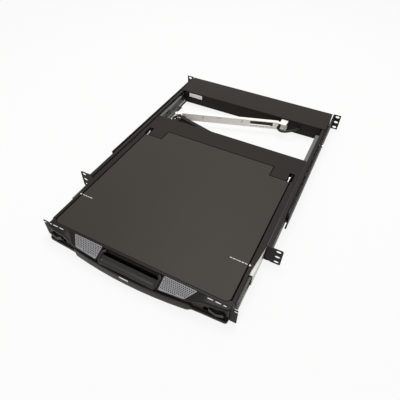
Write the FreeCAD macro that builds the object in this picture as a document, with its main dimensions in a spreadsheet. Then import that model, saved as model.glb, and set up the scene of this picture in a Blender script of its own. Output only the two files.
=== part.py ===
import FreeCAD, Part
import math
import operator
import os

import Sketcher

os.makedirs("parts", exist_ok=True)
document = FreeCAD.newDocument("ConsoleDrawer")
sheet = document.addObject("Spreadsheet::Sheet", "Sizes")
finished = []


# ---------------------------------------------------------------- sizes and expressions

SIGNS = {"+": operator.add, "-": operator.sub, "*": operator.mul, "/": operator.truediv}


class Amount:
    """A number and the spreadsheet expression that gives it."""

    def __init__(self, text, value):
        self.text = text
        self.value = value

    def __add__(self, other):
        return combine(self, "+", other)

    def __radd__(self, other):
        return combine(other, "+", self)

    def __sub__(self, other):
        return combine(self, "-", other)

    def __rsub__(self, other):
        return combine(other, "-", self)

    def __mul__(self, other):
        return combine(self, "*", other)

    def __rmul__(self, other):
        return combine(other, "*", self)

    def __truediv__(self, other):
        return combine(self, "/", other)

    def __neg__(self):
        return combine(-1, "*", self)


def amount(value):
    return value if isinstance(value, Amount) else Amount(repr(float(value)), float(value))


def combine(left, sign, right):
    left, right = amount(left), amount(right)
    return Amount(f"({left.text} {sign} {right.text})", SIGNS[sign](left.value, right.value))


def distance(across, along):
    """Length of the straight line with these two components."""
    return Amount(f"sqrt({across.text} * {across.text} + {along.text} * {along.text})",
                  math.hypot(across.value, along.value))


def bearing(across, along):
    """Angle in degrees from +X of the line with these two components."""
    return Amount(f"atan2({along.text}; {across.text})",
                  math.degrees(math.atan2(along.value, across.value)))


def size(name, value):
    row = len(sheet.getUsedCells()) // 2 + 1
    sheet.set(f"A{row}", name)
    sheet.set(f"B{row}", str(value))
    sheet.setAlias(f"B{row}", name)
    return Amount(f"Sizes.{name}", float(value))


# Rack unit: heights are measured up from the bottom of the unit
ear_wide = size("ear_wide", 23.8)
unit_mid = size("unit_mid", 22.225)
ear_tall = size("ear_tall", 43.7)
ear_plate = size("ear_plate", 2.0)
slot_inset = size("slot_inset", 8.75)
slot_pitch = size("slot_pitch", 15.875)
slot_long = size("slot_long", 10.4)
slot_wide = size("slot_wide", 7.0)
pull = size("pull", 148)
steel = size("steel", 1.2)
running_gap = size("running_gap", 0.4)

# Outer rails
rail_room = size("rail_room", 6.5)
rail_steel = size("rail_steel", 1.5)
box_deep = size("box_deep", 84)
rail_foot = size("rail_foot", 0.8)
rail_head = size("rail_head", 43.0)
rail_flange = size("rail_flange", 8.7)
rail_shelf = size("rail_shelf", 11.5)
rail_bend = size("rail_bend", 1.4)
ear_reach_in = size("ear_reach_in", 8.5)
ear_cut_wide = size("ear_cut_wide", 12)
ear_cut_tall = size("ear_cut_tall", 7)

# Rear brackets
bracket_overhang = size("bracket_overhang", 2)
bracket_length = size("bracket_length", 422)
bracket_stand = size("bracket_stand", 6.7)
bracket_lip = size("bracket_lip", 3.7)
bracket_slot_from = size("bracket_slot_from", 34)
bracket_slot_to = size("bracket_slot_to", 388)
bracket_slot_wide = size("bracket_slot_wide", 5.2)
pad_long = size("pad_long", 16)
clamp_back = size("clamp_back", 128)

# Telescopic slides
slide_deep = size("slide_deep", 9.5)
slide_gap = size("slide_gap", 0.5)
slide_foot = size("slide_foot", 2.4)
slide_tall = size("slide_tall", 36.8)
slide_steel = size("slide_steel", 1.1)
slide_start = size("slide_start", 5)
slide_overrun = size("slide_overrun", 118)
slide_tail = size("slide_tail", 38)
mid_start = size("mid_start", -70)
mid_overrun = size("mid_overrun", 73)
inner_start = size("inner_start", 20)
inner_tail = size("inner_tail", 2)
race = size("race", 2.4)
boss_half = size("boss_half", 5)

# Drawer tray
tray_half = size("tray_half", 199.5)
tray_start = size("tray_start", 14)
bay_deep = size("bay_deep", 55.4)
tray_foot = size("tray_foot", 1.0)
top_level = size("top_level", 41.0)
drawer_ear_reach = size("drawer_ear_reach", 12)
trim_reach = size("trim_reach", 7.3)
trim_nose_reach = size("trim_nose_reach", 1.3)
trim_taper_from = size("trim_taper_from", 90)
trim_taper_to = size("trim_taper_to", 150)
key_room = size("key_room", 7.0)
deck_steel = size("deck_steel", 1.4)

# Lid with the screen
lid_inset = size("lid_inset", 7.7)
lid_start = size("lid_start", 9)
lid_end = size("lid_end", 342.2)
lid_thick = size("lid_thick", 15.0)
lid_wall = size("lid_wall", 1.5)
lid_gap = size("lid_gap", 2.5)
lid_corner = size("lid_corner", 11)
front_gap = size("front_gap", 0.8)
tongue_inset = size("tongue_inset", 47.8)
tongue_long = size("tongue_long", 34.4)
tongue_gap = size("tongue_gap", 1.6)
shoulder_gap = size("shoulder_gap", 1.2)
screen_inset = size("screen_inset", 22.8)
screen_long = size("screen_long", 270.4)
screen_start = size("screen_start", 42)
frame_thick = size("frame_thick", 1.6)
glass_thick = size("glass_thick", 1.2)
panel_thick = size("panel_thick", 7.5)
hinge_back = size("hinge_back", 15.8)
hinge_drop = size("hinge_drop", 5.0)
hinge_pin = size("hinge_pin", 2.4)
pin_gap = size("pin_gap", 0.05)
hinge_eye = size("hinge_eye", 4.8)
hinge_plate = size("hinge_plate", 2.2)
notch_room = size("notch_room", 14)
notch_reach = size("notch_reach", 5.2)

# Keyboard
key_pitch = size("key_pitch", 19.0)
row_pitch = size("row_pitch", 18.6)
key_gap = size("key_gap", 0.8)
key_tall = size("key_tall", 7.4)
key_taper = size("key_taper", 1.6)
key_travel = size("key_travel", 2.2)
key_rise = size("key_rise", 4.6)
keys_start = size("keys_start", 118)
function_gap = size("function_gap", 3.0)
function_deep = size("function_deep", 14.0)
pad_half = size("pad_half", 38)
pad_start = size("pad_start", 48)
pad_end = size("pad_end", 100)
click_deep = size("click_deep", 15)

# Moulded front: distances forward of the drawer ears
visor_end = size("visor_end", 3.6)
visor_quarter = size("visor_quarter", 8.4)
visor_shoulder = size("visor_shoulder", 10.6)
visor_thick = size("visor_thick", 9)
visor_corner = size("visor_corner", 5)
nose_shoulder = size("nose_shoulder", 145)
nose_half = size("nose_half", 121)
nose_corner = size("nose_corner", 16.8)
nose_front = size("nose_front", 22.6)
nose_foot = size("nose_foot", 29)
slope_back = size("slope_back", 5)
slope_rate = size("slope_rate", 0.41)
groove_depth = size("groove_depth", 1.6)
belly_room = size("belly_room", 2.6)
recess_depth = size("recess_depth", 1.4)
recess_half = size("recess_half", 155)
cheek_front = size("cheek_front", 10.4)
lip_inset = size("lip_inset", 2)
lip_head = size("lip_head", 11.6)
lip_end = size("lip_end", 10.8)
lip_quarter = size("lip_quarter", 12.2)
lip_step = size("lip_step", 14.3)
lip_step_half = size("lip_step_half", 130)
lip_corner = size("lip_corner", 7)
belly_half = size("belly_half", 124)
belly_end = size("belly_end", 17.8)
belly_front = size("belly_front", 26.4)
grille_in = size("grille_in", 68.5)
grille_out = size("grille_out", 134.5)
grille_front_out = size("grille_front_out", 118.5)
grille_front = size("grille_front", 20.2)
grille_slant = size("grille_slant", 4.4)
grille_thick = size("grille_thick", 1.2)
seat_gap = size("seat_gap", 0.3)
handle_half = size("handle_half", 65.5)
handle_rim = size("handle_rim", 5.5)
handle_thick = size("handle_thick", 4.2)
handle_rise = size("handle_rise", 1.6)
handle_dish = size("handle_dish", 2.4)
handle_front = size("handle_front", 23.0)
finger_front = size("finger_front", 6.5)
finger_back = size("finger_back", 1)
well_foot = size("well_foot", 14)
latch_in = size("latch_in", 162)
latch_out = size("latch_out", 190)
latch_travel = size("latch_travel", 8)
latch_foot = size("latch_foot", 13)
latch_tall = size("latch_tall", 11)
latch_front = size("latch_front", 7.6)
chevron_rise = size("chevron_rise", 1.2)

# Rear box
box_room = size("box_room", 146)
box_inset = size("box_inset", 3.9)
box_foot = size("box_foot", 8)
box_steel = size("box_steel", 1.2)
cover_steel = size("cover_steel", 1.1)

# Cable arm: pivots measured from the rack-ear plane
arm_root_x = size("arm_root_x", 108)
arm_root_front = size("arm_root_front", 16)
arm_elbow_x = size("arm_elbow_x", -170)
arm_elbow_front = size("arm_elbow_front", 92)
arm_tip_x = size("arm_tip_x", 112)
arm_tip_front = size("arm_tip_front", 39)
arm_foot = size("arm_foot", 16.5)
arm_tall = size("arm_tall", 21.5)
arm_deep = size("arm_deep", 10)
arm_steel = size("arm_steel", 1.0)
arm_pin = size("arm_pin", 2.5)
arm_eye = size("arm_eye", 6.5)
cable_radius = size("cable_radius", 3.8)

document.recompute()

# Widths, from the tray outwards and inwards
tray_inside = tray_half - steel
slide_inset = tray_half + slide_gap
slide_back = slide_inset + slide_deep
rail_inside = slide_back + rail_room
rail_half = rail_inside + rail_steel
rack_half = rail_half + ear_wide
slot_across = rack_half - slot_inset
bracket_half = rail_half + bracket_stand
drawer_ear_half = tray_half + drawer_ear_reach
trim_half = tray_half + trim_reach
trim_nose_half = tray_half + trim_nose_reach
lid_half = tray_half - lid_inset
trim_inner = lid_half + lid_gap
tongue_half = lid_half - tongue_inset
bezel_back = lid_start - front_gap
screen_half = lid_half - screen_inset
notch_half = lid_half + notch_reach
bezel_half = tray_inside - seat_gap
lip_half = bezel_half - lip_inset
box_half = slide_back - box_inset

# Lengths, from the shoulder of the lid backwards
hinge_along = lid_end + hinge_back
notch_end = hinge_along + notch_room
tongue_end = lid_end + tongue_long
tray_end = tongue_end + bay_deep
screen_end = screen_start + screen_long
inner_length = tray_end - inner_tail - inner_start
drawer_rear = tray_end - pull
mid_length = drawer_rear + mid_overrun - mid_start
slide_length = drawer_rear + slide_overrun - slide_start
box_start = drawer_rear + box_room
rail_length = box_start + box_deep
bracket_start = rail_length + bracket_overhang - bracket_length
clamp_along = rail_length - clamp_back
arm_root_y = box_start - arm_root_front
arm_elbow_y = arm_root_y - arm_elbow_front
arm_tip_y = drawer_rear - arm_tip_front

# Heights
ear_foot = unit_mid - ear_tall / 2
ear_head = unit_mid + ear_tall / 2
slide_head = slide_foot + slide_tall
slide_mid = slide_foot + slide_tall / 2
tray_floor = tray_foot + steel
under_top = top_level - steel
lid_foot = top_level - lid_thick
groove_foot = lid_foot - belly_room
deck_level = lid_foot - key_room
deck_under = deck_level - deck_steel
hinge_up = top_level - hinge_drop
key_foot = deck_level + key_rise - key_tall
key_base = key_foot - key_travel - running_gap
arm_head = arm_foot + arm_tall
arm_mid = arm_foot + arm_tall / 2


# ---------------------------------------------------------------- building tools

PLANES = {"XY": "XY_Plane", "XZ": "XZ_Plane", "YZ": "YZ_Plane"}


def bind(thing, name, value):
    thing.setExpression(name, amount(value).text)


def place(thing, across, along, up):
    bind(thing, "Placement.Base.x", across)
    bind(thing, "Placement.Base.y", along)
    bind(thing, "Placement.Base.z", up)


def block(name, across, along, up):
    """A box between the low and high value of each axis."""
    box = document.addObject("Part::Box", name)
    bind(box, "Length", amount(across[1]) - across[0])
    bind(box, "Width", amount(along[1]) - along[0])
    bind(box, "Height", amount(up[1]) - up[0])
    place(box, across[0], along[0], up[0])
    return box


TURNS = {
    "X": FreeCAD.Rotation(FreeCAD.Vector(0, 1, 0), 90),
    "Y": FreeCAD.Rotation(FreeCAD.Vector(1, 0, 0), -90),
    "Z": FreeCAD.Rotation(),
}


def rod(name, axis, radius, span, across=0, along=0, up=0):
    """A round bar along one axis; span replaces the coordinate of that axis."""
    bar = document.addObject("Part::Cylinder", name)
    bar.Placement = FreeCAD.Placement(FreeCAD.Vector(), TURNS[axis])
    bind(bar, "Radius", radius)
    bind(bar, "Height", amount(span[1]) - span[0])
    spot = {"X": across, "Y": along, "Z": up}
    spot[axis] = span[0]
    place(bar, spot["X"], spot["Y"], spot["Z"])
    return bar


def fuse(name, *pieces):
    joined = document.addObject("Part::MultiFuse", name)
    joined.Shapes = list(pieces)
    return joined


def group(name, *pieces):
    """Separate solids that make one sub-part."""
    together = document.addObject("Part::Compound", name)
    together.Links = list(pieces)
    return together


def cut(name, base, *tools):
    result = document.addObject("Part::Cut", name)
    result.Base = base
    result.Tool = tools[0] if len(tools) == 1 else fuse(name + "_tools", *tools)
    return result


def common(name, first, second):
    result = document.addObject("Part::Common", name)
    result.Base = first
    result.Tool = second
    return result


def mirrored(name, source):
    """The same sub-part on the other side of the middle plane."""
    twin = document.addObject("Part::Mirroring", name)
    twin.Source = source
    twin.Normal = FreeCAD.Vector(1, 0, 0)
    return twin


def new_body(name):
    return document.addObject("PartDesign::Body", name + "_body")


def pin_vertex(sketch, curve, end, spot):
    for kind, value in zip(("DistanceX", "DistanceY"), spot):
        number = sketch.addConstraint(Sketcher.Constraint(kind, -1, 1, curve, end, amount(value).value))
        sketch.setExpression(f"Constraints[{number}]", amount(value).text)


def vector(spot):
    return FreeCAD.Vector(amount(spot[0]).value, amount(spot[1]).value, 0)


def draw_outline(sketch, corners):
    """A closed outline; a corner written ("arc", u, v) makes its edge an arc through that point."""
    stops = [number for number, corner in enumerate(corners) if corner[0] != "arc"]
    curves = []
    for here, there in zip(stops, stops[1:] + stops[:1]):
        start, finish = corners[here], corners[there]
        middle = corners[(here + 1) % len(corners)]
        if middle[0] == "arc":
            number, ends = draw_arc(sketch, vector(start), vector(middle[1:]), vector(finish))
            point = sketch.addGeometry(Part.Point(vector(middle[1:])), True)
            pin_vertex(sketch, point, 1, middle[1:])
            sketch.addConstraint(Sketcher.Constraint("PointOnObject", point, 1, number))
        else:
            number = sketch.addGeometry(Part.LineSegment(vector(start), vector(finish)), False)
            ends = (1, 2)
        pin_vertex(sketch, number, ends[0], start)
        curves.append((number, ends))
    for (curve, ends), (following, next_ends) in zip(curves, curves[1:] + curves[:1]):
        sketch.addConstraint(Sketcher.Constraint("Coincident", curve, ends[1], following, next_ends[0]))


def draw_arc(sketch, start, middle, finish):
    """An arc stored anticlockwise, and which of its ends, 1 or 2, are its start and its finish."""
    if (middle - start).cross(finish - middle).z > 0:
        return sketch.addGeometry(Part.Arc(start, middle, finish), False), (1, 2)
    return sketch.addGeometry(Part.Arc(finish, middle, start), False), (2, 1)


def draw_circle(sketch, centre, radius):
    number = sketch.addGeometry(Part.Circle(vector(centre), FreeCAD.Vector(0, 0, 1), amount(radius).value))
    pin_vertex(sketch, number, 3, centre)
    rule = sketch.addConstraint(Sketcher.Constraint("Radius", number, amount(radius).value))
    sketch.setExpression(f"Constraints[{rule}]", amount(radius).text)


def slot_outline(centre, long, wide):
    """A straight slot with round ends, lying along the first sketch axis."""
    u, v = centre
    end, radius = long / 2 - wide / 2, wide / 2
    return [(u - end, v - radius), (u + end, v - radius), ("arc", u + long / 2, v),
            (u + end, v + radius), (u - end, v + radius), ("arc", u - long / 2, v)]


def new_sketch(body, name, plane, level, outlines, circles=()):
    sketch = body.newObject("Sketcher::SketchObject", name)
    support = [part for part in body.Origin.OriginFeatures if part.Role == PLANES[plane]][0]
    sketch.AttachmentSupport = [(support, "")]
    sketch.MapMode = "FlatFace"
    bind(sketch, "AttachmentOffset.Base.z", -amount(level) if plane == "XZ" else level)
    for outline in outlines:
        draw_outline(sketch, outline)
    for centre, radius in circles:
        draw_circle(sketch, centre, radius)
    return sketch


def pad(body, name, plane, outlines, low, high, circles=()):
    """Add material between two levels of the axis square to the plane."""
    level = high if plane == "XZ" else low
    feature = body.newObject("PartDesign::Pad", name)
    feature.Profile = new_sketch(body, name + "_sketch", plane, level, outlines, circles)
    bind(feature, "Length", amount(high) - low)
    return feature


def pocket(body, name, plane, outlines, low, high, circles=()):
    """Take material away between two levels of the axis square to the plane."""
    document.recompute()
    before = body.Shape.Volume
    level = low if plane == "XZ" else high
    feature = body.newObject("PartDesign::Pocket", name)
    feature.Profile = new_sketch(body, name + "_sketch", plane, level, outlines, circles)
    bind(feature, "Length", amount(high) - low)
    document.recompute()
    if body.Shape.Volume >= before:
        raise RuntimeError(name + " cuts nothing")
    return feature


def soften(body, name, radius, chosen, bevelled=False):
    """Round or bevel every edge of the body that the test picks out."""
    document.recompute()
    base = body.Tip
    edges = [f"Edge{number}" for number, edge in enumerate(base.Shape.Edges, 1) if chosen(edge)]
    if not edges:
        raise RuntimeError(name + " finds no edge")
    feature = body.newObject("PartDesign::Chamfer" if bevelled else "PartDesign::Fillet", name)
    feature.Base = (base, edges)
    bind(feature, "Size" if bevelled else "Radius", radius)
    document.recompute()
    return feature


def runs(edge, axis):
    """True for a straight edge along the axis, 0 for X, 1 for Y and 2 for Z."""
    if edge.Curve.TypeId != "Part::GeomLine":
        return False
    way = edge.tangentAt(edge.FirstParameter)
    return abs(abs(way[axis]) - 1) < 1e-6


def near(value, target):
    return abs(value - amount(target).value) < 1e-4


def rectangle(across, along):
    return [(across[0], along[0]), (across[1], along[0]), (across[1], along[1]), (across[0], along[1])]


def flip(corners):
    """The same corners on the other side of the middle line."""
    return [corner[:-2] + (-corner[-2], corner[-1]) for corner in corners]


def mirror_image(right, middle=()):
    """A closed outline from its right-hand half, the corners on the middle line and the left-hand half."""
    return right + list(middle) + flip(right)[::-1]


def finish(label, thing, frame):
    """Name a sub-part and move it from its own frame to the model's."""
    if frame != "twin":
        if thing.isDerivedFrom("Part::Primitive"):
            thing = group(label + "_whole", thing)
        place(thing, 0, -pull if frame == "drawer" else 0, -unit_mid)
    thing.Label = label
    finished.append(thing)
    return thing


def finish_pair(label, thing, frame):
    """A right-hand sub-part and its left-hand mirror image."""
    right = finish(label + "_right", thing, frame)
    finish(label + "_left", mirrored(label + "_mirror", right), "twin")


# ---------------------------------------------------------------- chassis that is fixed to the rack

def ear_slots(body, name, low, high):
    outlines = [slot_outline((slot_across, unit_mid + step * slot_pitch), slot_long, slot_wide)
                for step in (-1, 0, 1)]
    pocket(body, name, "XZ", outlines, low, high)


def outer_rail():
    """C channel of the chassis side, with the front rack ear welded across its end."""
    body = new_body("outer_rail")
    section = [(rail_half, rail_foot), (rail_half, rail_head),
               (rail_half - rail_flange, rail_head), (rail_half - rail_flange, rail_head - rail_steel),
               (rail_inside, rail_head - rail_steel), (rail_inside, rail_foot + rail_steel),
               (rail_half - rail_shelf, rail_foot + rail_steel), (rail_half - rail_shelf, rail_foot)]
    pad(body, "rail_channel", "XZ", [section], 0, rail_length)
    soften(body, "rail_bends", rail_bend,
           lambda edge: runs(edge, 1) and near(edge.CenterOfMass.x, rail_half))
    inner = rail_half - ear_reach_in
    ear = [(inner, ear_foot + ear_cut_tall), (inner, ear_head), (rack_half, ear_head),
           (rack_half, ear_foot), (inner + ear_cut_wide, ear_foot)]
    pad(body, "rail_ear", "XZ", [ear], 0, ear_plate)
    ear_slots(body, "rail_ear_slots", 0, ear_plate)
    soften(body, "rail_ear_corners", 3.0,
           lambda edge: runs(edge, 1) and near(edge.CenterOfMass.x, rack_half))
    finish_pair("outer_rail", body, "rack")


def rail_spacers():
    """Square spacers that hold the slide off the wall of the rail."""
    pieces = [block(f"rail_spacer_{number}", (slide_back, rail_inside), (spot - boss_half, spot + boss_half),
                    (slide_mid - boss_half, slide_mid + boss_half))
              for number, spot in enumerate((slide_start + 30, slide_start + slide_length / 2 + 6.5,
                                     slide_start + slide_length - 22))]
    finish_pair("rail_spacers", group("rail_spacer_set", *pieces), "rack")


def channel(web, lips, foot, head, thick):
    """Section of a slide member: a web with one lip at each edge."""
    inward = web - thick
    return [(web, foot), (web, head), (lips, head), (lips, head - thick),
            (inward, head - thick), (inward, foot + thick), (lips, foot + thick), (lips, foot)]


def slide_outer():
    body = new_body("slide_outer")
    section = channel(slide_back, slide_inset, slide_foot, slide_head, slide_steel)
    pad(body, "outer_member", "XZ", [section], slide_start, slide_start + slide_length)
    tail = rectangle((slide_back - slide_steel, slide_back), (slide_foot, slide_head))
    slide_end = slide_start + slide_length
    pad(body, "outer_tail", "XZ", [tail], slide_end - 1, slide_end + slide_tail)
    finish_pair("slide_outer", body, "rack")


def slide_middle():
    """Intermediate member, with lightening holes near its rear end."""
    body = new_body("slide_middle")
    web = slide_back - slide_steel - 0.7
    section = channel(web, slide_inset + 0.3, slide_foot + race, slide_head - race, slide_steel)
    pad(body, "middle_member", "XZ", [section], mid_start, mid_start + mid_length)
    rear = mid_start + mid_length
    holes = [((rear - 16, slide_mid - 7), 4), ((rear - 40, slide_mid - 7), 4)]
    window = slot_outline((rear - 28, slide_mid + 6), amount(26), amount(7))
    slant = [(rear - 9, slide_foot), (rear + 1, slide_foot), (rear + 1, slide_mid + 8)]
    pocket(body, "middle_holes", "YZ", [window], web - slide_steel - 1, web + 1, holes)
    pocket(body, "middle_slant", "YZ", [slant], slide_inset, web + 1)
    finish_pair("slide_middle", body, "rack")


def slide_inner():
    """Inner member, held to the side of the tray by three bosses."""
    body = new_body("slide_inner")
    web = slide_inset + 0.7
    lips = slide_back - 2 * slide_steel - 1.4
    low, high = slide_foot + 2 * race + 0.8, slide_head - 2 * race - 0.8
    section = [(web, low), (web, high), (lips, high), (lips, high - slide_steel),
               (web + slide_steel, high - slide_steel), (web + slide_steel, low + slide_steel),
               (lips, low + slide_steel), (lips, low)]
    pad(body, "inner_member", "XZ", [section], inner_start, inner_start + inner_length)
    spots = (inner_start + 40, inner_start + inner_length / 2, inner_start + inner_length - 40)
    bosses = [rectangle((spot - boss_half, spot + boss_half), (slide_mid - boss_half, slide_mid + boss_half))
              for spot in spots]
    pad(body, "inner_bosses", "YZ", bosses, tray_half, web + slide_steel / 2)
    finish_pair("slide_inner", body, "drawer")


def rear_box():
    """Electronics box between the rear ends of the rails."""
    body = new_body("rear_box")
    inside = box_half - box_steel
    shell = [(-box_half, box_foot), (box_half, box_foot), (box_half, rail_head), (inside, rail_head),
             (inside, box_foot + box_steel), (-inside, box_foot + box_steel),
             (-inside, rail_head), (-box_half, rail_head)]
    pad(body, "box_shell", "XZ", [shell], box_start, rail_length)
    front = rectangle((-box_half, box_half), (box_foot, rail_head))
    pad(body, "box_front", "XZ", [front], box_start, box_start + box_steel)
    wings = [rectangle((side[0], side[1]), (slide_mid - 1, slide_mid + 1))
             for side in ((box_half - 0.5, rail_inside), (-rail_inside, 0.5 - box_half))]
    pad(body, "box_wings", "XZ", wings, box_start + 16, rail_length - 8)
    finish("rear_box", body, "rack")


def box_cover():
    body = new_body("box_cover")
    plate = rectangle((-rail_half, rail_half), (box_start, rail_length))
    pad(body, "cover_plate", "XY", [plate], rail_head, rail_head + cover_steel)
    soften(body, "cover_corners", 1.5, lambda edge: runs(edge, 2))
    finish("box_cover", body, "rack")


# Rear sockets: half-width and height of each, and its place across the panel
panel_level = box_foot + box_steel + 15


def rear_panel():
    """Rear wall of the box with the cut-outs for its sockets."""
    body = new_body("rear_panel")
    inside = box_half - box_steel - 0.2
    plate = rectangle((-inside, inside), (box_foot + box_steel, rail_head))
    pad(body, "panel_plate", "XZ", [plate], rail_length - box_steel, rail_length)
    openings = [rectangle((-168, -140), (panel_level - 10, panel_level + 10)),
                rectangle((-128.4, -114.6), (panel_level - 9.6, panel_level + 9.6)),
                rectangle((20, 51), (panel_level - 6, panel_level + 6)),
                rectangle((64, 76), (panel_level - 5.5, panel_level + 5.5)),
                rectangle((90, 102), (panel_level - 5.5, panel_level + 5.5))]
    pocket(body, "panel_cutouts", "XZ", openings, rail_length - box_steel, rail_length)
    finish("rear_panel", body, "rack")


def power_inlet():
    """Appliance inlet: a deep socket with its shell set in the panel."""
    body = new_body("power_inlet")
    outline = rectangle((-168, -140), (panel_level - 10, panel_level + 10))
    pad(body, "inlet_body", "XZ", [outline], rail_length - 22, rail_length + 2)
    well = [(-166, panel_level - 8), (-142, panel_level - 8), (-142, panel_level + 4),
            (-146, panel_level + 8), (-162, panel_level + 8), (-166, panel_level + 4)]
    pocket(body, "inlet_well", "XZ", [well], rail_length - 14, rail_length + 2)
    finish("power_inlet", body, "rack")


def signal_sockets():
    """One fifteen-way socket shell and two square ones."""
    body = new_body("wide_socket")
    shell = [(21, panel_level + 5), (50, panel_level + 5), (48, panel_level - 5), (23, panel_level - 5)]
    core = rectangle((20, 51), (panel_level - 6, panel_level + 6))
    pad(body, "wide_core", "XZ", [core], rail_length - 10, rail_length + 0.5)
    pad(body, "wide_shell", "XZ", [shell], rail_length, rail_length + 6)
    finish("wide_socket", body, "rack")
    squares = []
    for side, left in (("a", 64), ("b", 90)):
        square = new_body("square_socket_" + side)
        outline = rectangle((left, left + 12), (panel_level - 5.5, panel_level + 5.5))
        pad(square, f"square_{side}_shell", "XZ", [outline], rail_length - 14, rail_length + 0.6)
        well = rectangle((left + 1.6, left + 10.4), (panel_level - 4, panel_level + 4))
        pocket(square, f"square_{side}_well", "XZ", [well], rail_length - 10, rail_length + 0.6)
        squares.append(square)
    finish("square_sockets", group("square_socket_pair", *squares), "rack")


def power_switch():
    """Rocker that turns about a pin across its frame."""
    frame = new_body("switch_frame")
    outline = rectangle((-128.4, -114.6), (panel_level - 9.6, panel_level + 9.6))
    pad(frame, "switch_shell", "XZ", [outline], rail_length - 16, rail_length + 1.2)
    well = rectangle((-127.6, -115.4), (panel_level - 8.8, panel_level + 8.8))
    pocket(frame, "switch_well", "XZ", [well], rail_length - 14, rail_length + 1.2)
    finish("switch_frame", frame, "rack")
    rocker = new_body("rocker")
    middle = rail_length - 4
    side = [(middle + 5.3, panel_level + 6.3), (middle + 4.2, panel_level + 0.5),
            (middle + 6.6, panel_level - 4.8), (middle - 5.6, panel_level - 5.2),
            (middle - 8.2, panel_level), (middle - 5.6, panel_level + 5.4)]
    pad(rocker, "rocker_block", "YZ", [side], -127.2, -115.8)
    finish("power_rocker", rocker, "rack")


def circuit_board():
    board = block("board_plate", (-175, 150), (box_start + 8, rail_length - 26),
                  (box_foot + box_steel + 4, box_foot + box_steel + 5.6))
    feet = [block(f"board_foot_{name}", reach, (box_start + 10, rail_length - 28),
                  (box_foot + box_steel, box_foot + box_steel + 4.2))
            for name, reach in (("left", (-170, -164)), ("right", (138, 144)))]
    finish("circuit_board", fuse("board_on_feet", board, *feet), "rack")


# ---------------------------------------------------------------- sliding rear brackets

def rear_bracket():
    """Depth-adjustable bracket that wraps the outside of the rail and ends in the rear rack ear."""
    body = new_body("rear_bracket")
    finish_at = bracket_start + bracket_length
    inward = bracket_half - rail_steel
    lips = bracket_half - bracket_lip
    section = [(bracket_half, rail_foot), (bracket_half, rail_head), (lips, rail_head),
               (lips, rail_head - rail_steel), (inward, rail_head - rail_steel),
               (inward, rail_foot + rail_steel), (lips, rail_foot + rail_steel), (lips, rail_foot)]
    pad(body, "bracket_channel", "XZ", [section], bracket_start, finish_at)
    soften(body, "bracket_bends", rail_bend,
           lambda edge: runs(edge, 1) and near(edge.CenterOfMass.x, bracket_half))
    ear = [(inward, ear_foot), (rack_half, ear_foot), (rack_half, ear_head), (inward, ear_head)]
    pad(body, "bracket_ear", "XZ", [ear], finish_at - ear_plate, finish_at)
    ear_slots(body, "bracket_ear_slots", finish_at - ear_plate, finish_at)
    middle = bracket_start + (bracket_slot_from + bracket_slot_to) / 2
    long_slot = slot_outline((middle, unit_mid), bracket_slot_to - bracket_slot_from, bracket_slot_wide)
    pocket(body, "bracket_long_slot", "YZ", [long_slot], inward - 1, bracket_half + 1)
    finish_pair("rear_bracket", body, "rack")


def guide_pads():
    """Slippery pads inside the bracket that ride on the wall of the rail."""
    reach = (rail_half + running_gap, bracket_half - rail_steel)
    pads = []
    for along in (bracket_start + 12, bracket_start + 140):
        for foot in (unit_mid - 15, unit_mid + 8):
            pads.append(block(f"guide_pad_{len(pads)}", reach, (along, along + pad_long), (foot, foot + 7)))
    finish_pair("guide_pads", group("guide_pad_set", *pads), "rack")


def clamp_screw():
    """Square-necked screw in the rail that passes the long slot and clamps the bracket."""
    neck = bracket_slot_wide / 2 - 0.6
    shank = block("clamp_neck", (rail_half, bracket_half + 1.4), (clamp_along - neck, clamp_along + neck),
                  (unit_mid - neck, unit_mid + neck))
    head = rod("clamp_head", "X", 4.4, (bracket_half + 0.3, bracket_half + 2.1),
               along=clamp_along, up=unit_mid)
    finish_pair("clamp_screw", fuse("clamp_screw_whole", shank, head), "rack")


# ---------------------------------------------------------------- drawer

def tray():
    """Folded tray with its own small ears at the front and a partition before the arm bay."""
    body = new_body("tray")
    section = [(-tray_half, tray_foot), (tray_half, tray_foot), (tray_half, under_top),
               (tray_inside, under_top), (tray_inside, tray_floor), (-tray_inside, tray_floor),
               (-tray_inside, under_top), (-tray_half, under_top)]
    pad(body, "tray_fold", "XZ", [section], tray_start, tray_end)
    partition = rectangle((-tray_half, tray_half), (tray_foot, under_top))
    partition_at = tongue_end + tongue_gap + 2.4
    pad(body, "tray_partition", "XZ", [partition], partition_at, partition_at + steel)
    for name, sign in (("right", 1), ("left", -1)):
        arm = rectangle(sorted((sign * tray_inside, sign * tray_half), key=lambda item: item.value),
                        (ear_foot, under_top))
        pad(body, f"tray_arm_{name}", "XZ", [arm], 0, tray_start + 1)
        edges = sorted((sign * tray_inside, sign * drawer_ear_half), key=lambda item: item.value)
        pad(body, f"tray_ear_{name}", "XZ", [rectangle(edges, (ear_foot, ear_head))], 0, rail_steel)
        mouth = sorted((sign * (drawer_ear_half - 6.5), sign * (drawer_ear_half + 1)),
                       key=lambda item: item.value)
        notch = rectangle(mouth, (unit_mid + slot_pitch - 2.6, unit_mid + slot_pitch + 2.6))
        pocket(body, f"tray_ear_notch_{name}", "XZ", [notch], 0, rail_steel)
        way = rectangle(edges, (slide_mid - 3.5, slide_mid + 3.5))
        pocket(body, f"tray_latch_way_{name}", "XZ", [way], 2, 7)
    finish("tray", body, "drawer")


def rear_cover():
    """Fixed top plate behind the lid, over the folded cable arm."""
    body = new_body("rear_cover")
    front = lid_end + shoulder_gap
    mouth = tongue_half + tongue_gap
    back = tongue_end + tongue_gap
    outline = [(-trim_half, front), (-mouth, front), (-mouth, back), (mouth, back), (mouth, front),
               (trim_half, front), (trim_half, tray_end), (-trim_half, tray_end)]
    pad(body, "cover_top", "XY", [outline], under_top, top_level)
    arm_in = lid_half - 7
    notches = [rectangle((arm_in, notch_half), (front - 1, notch_end)),
               rectangle((-notch_half, -arm_in), (front - 1, notch_end))]
    pocket(body, "cover_notches", "XY", notches, under_top, top_level)
    finish("rear_cover", body, "drawer")


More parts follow.
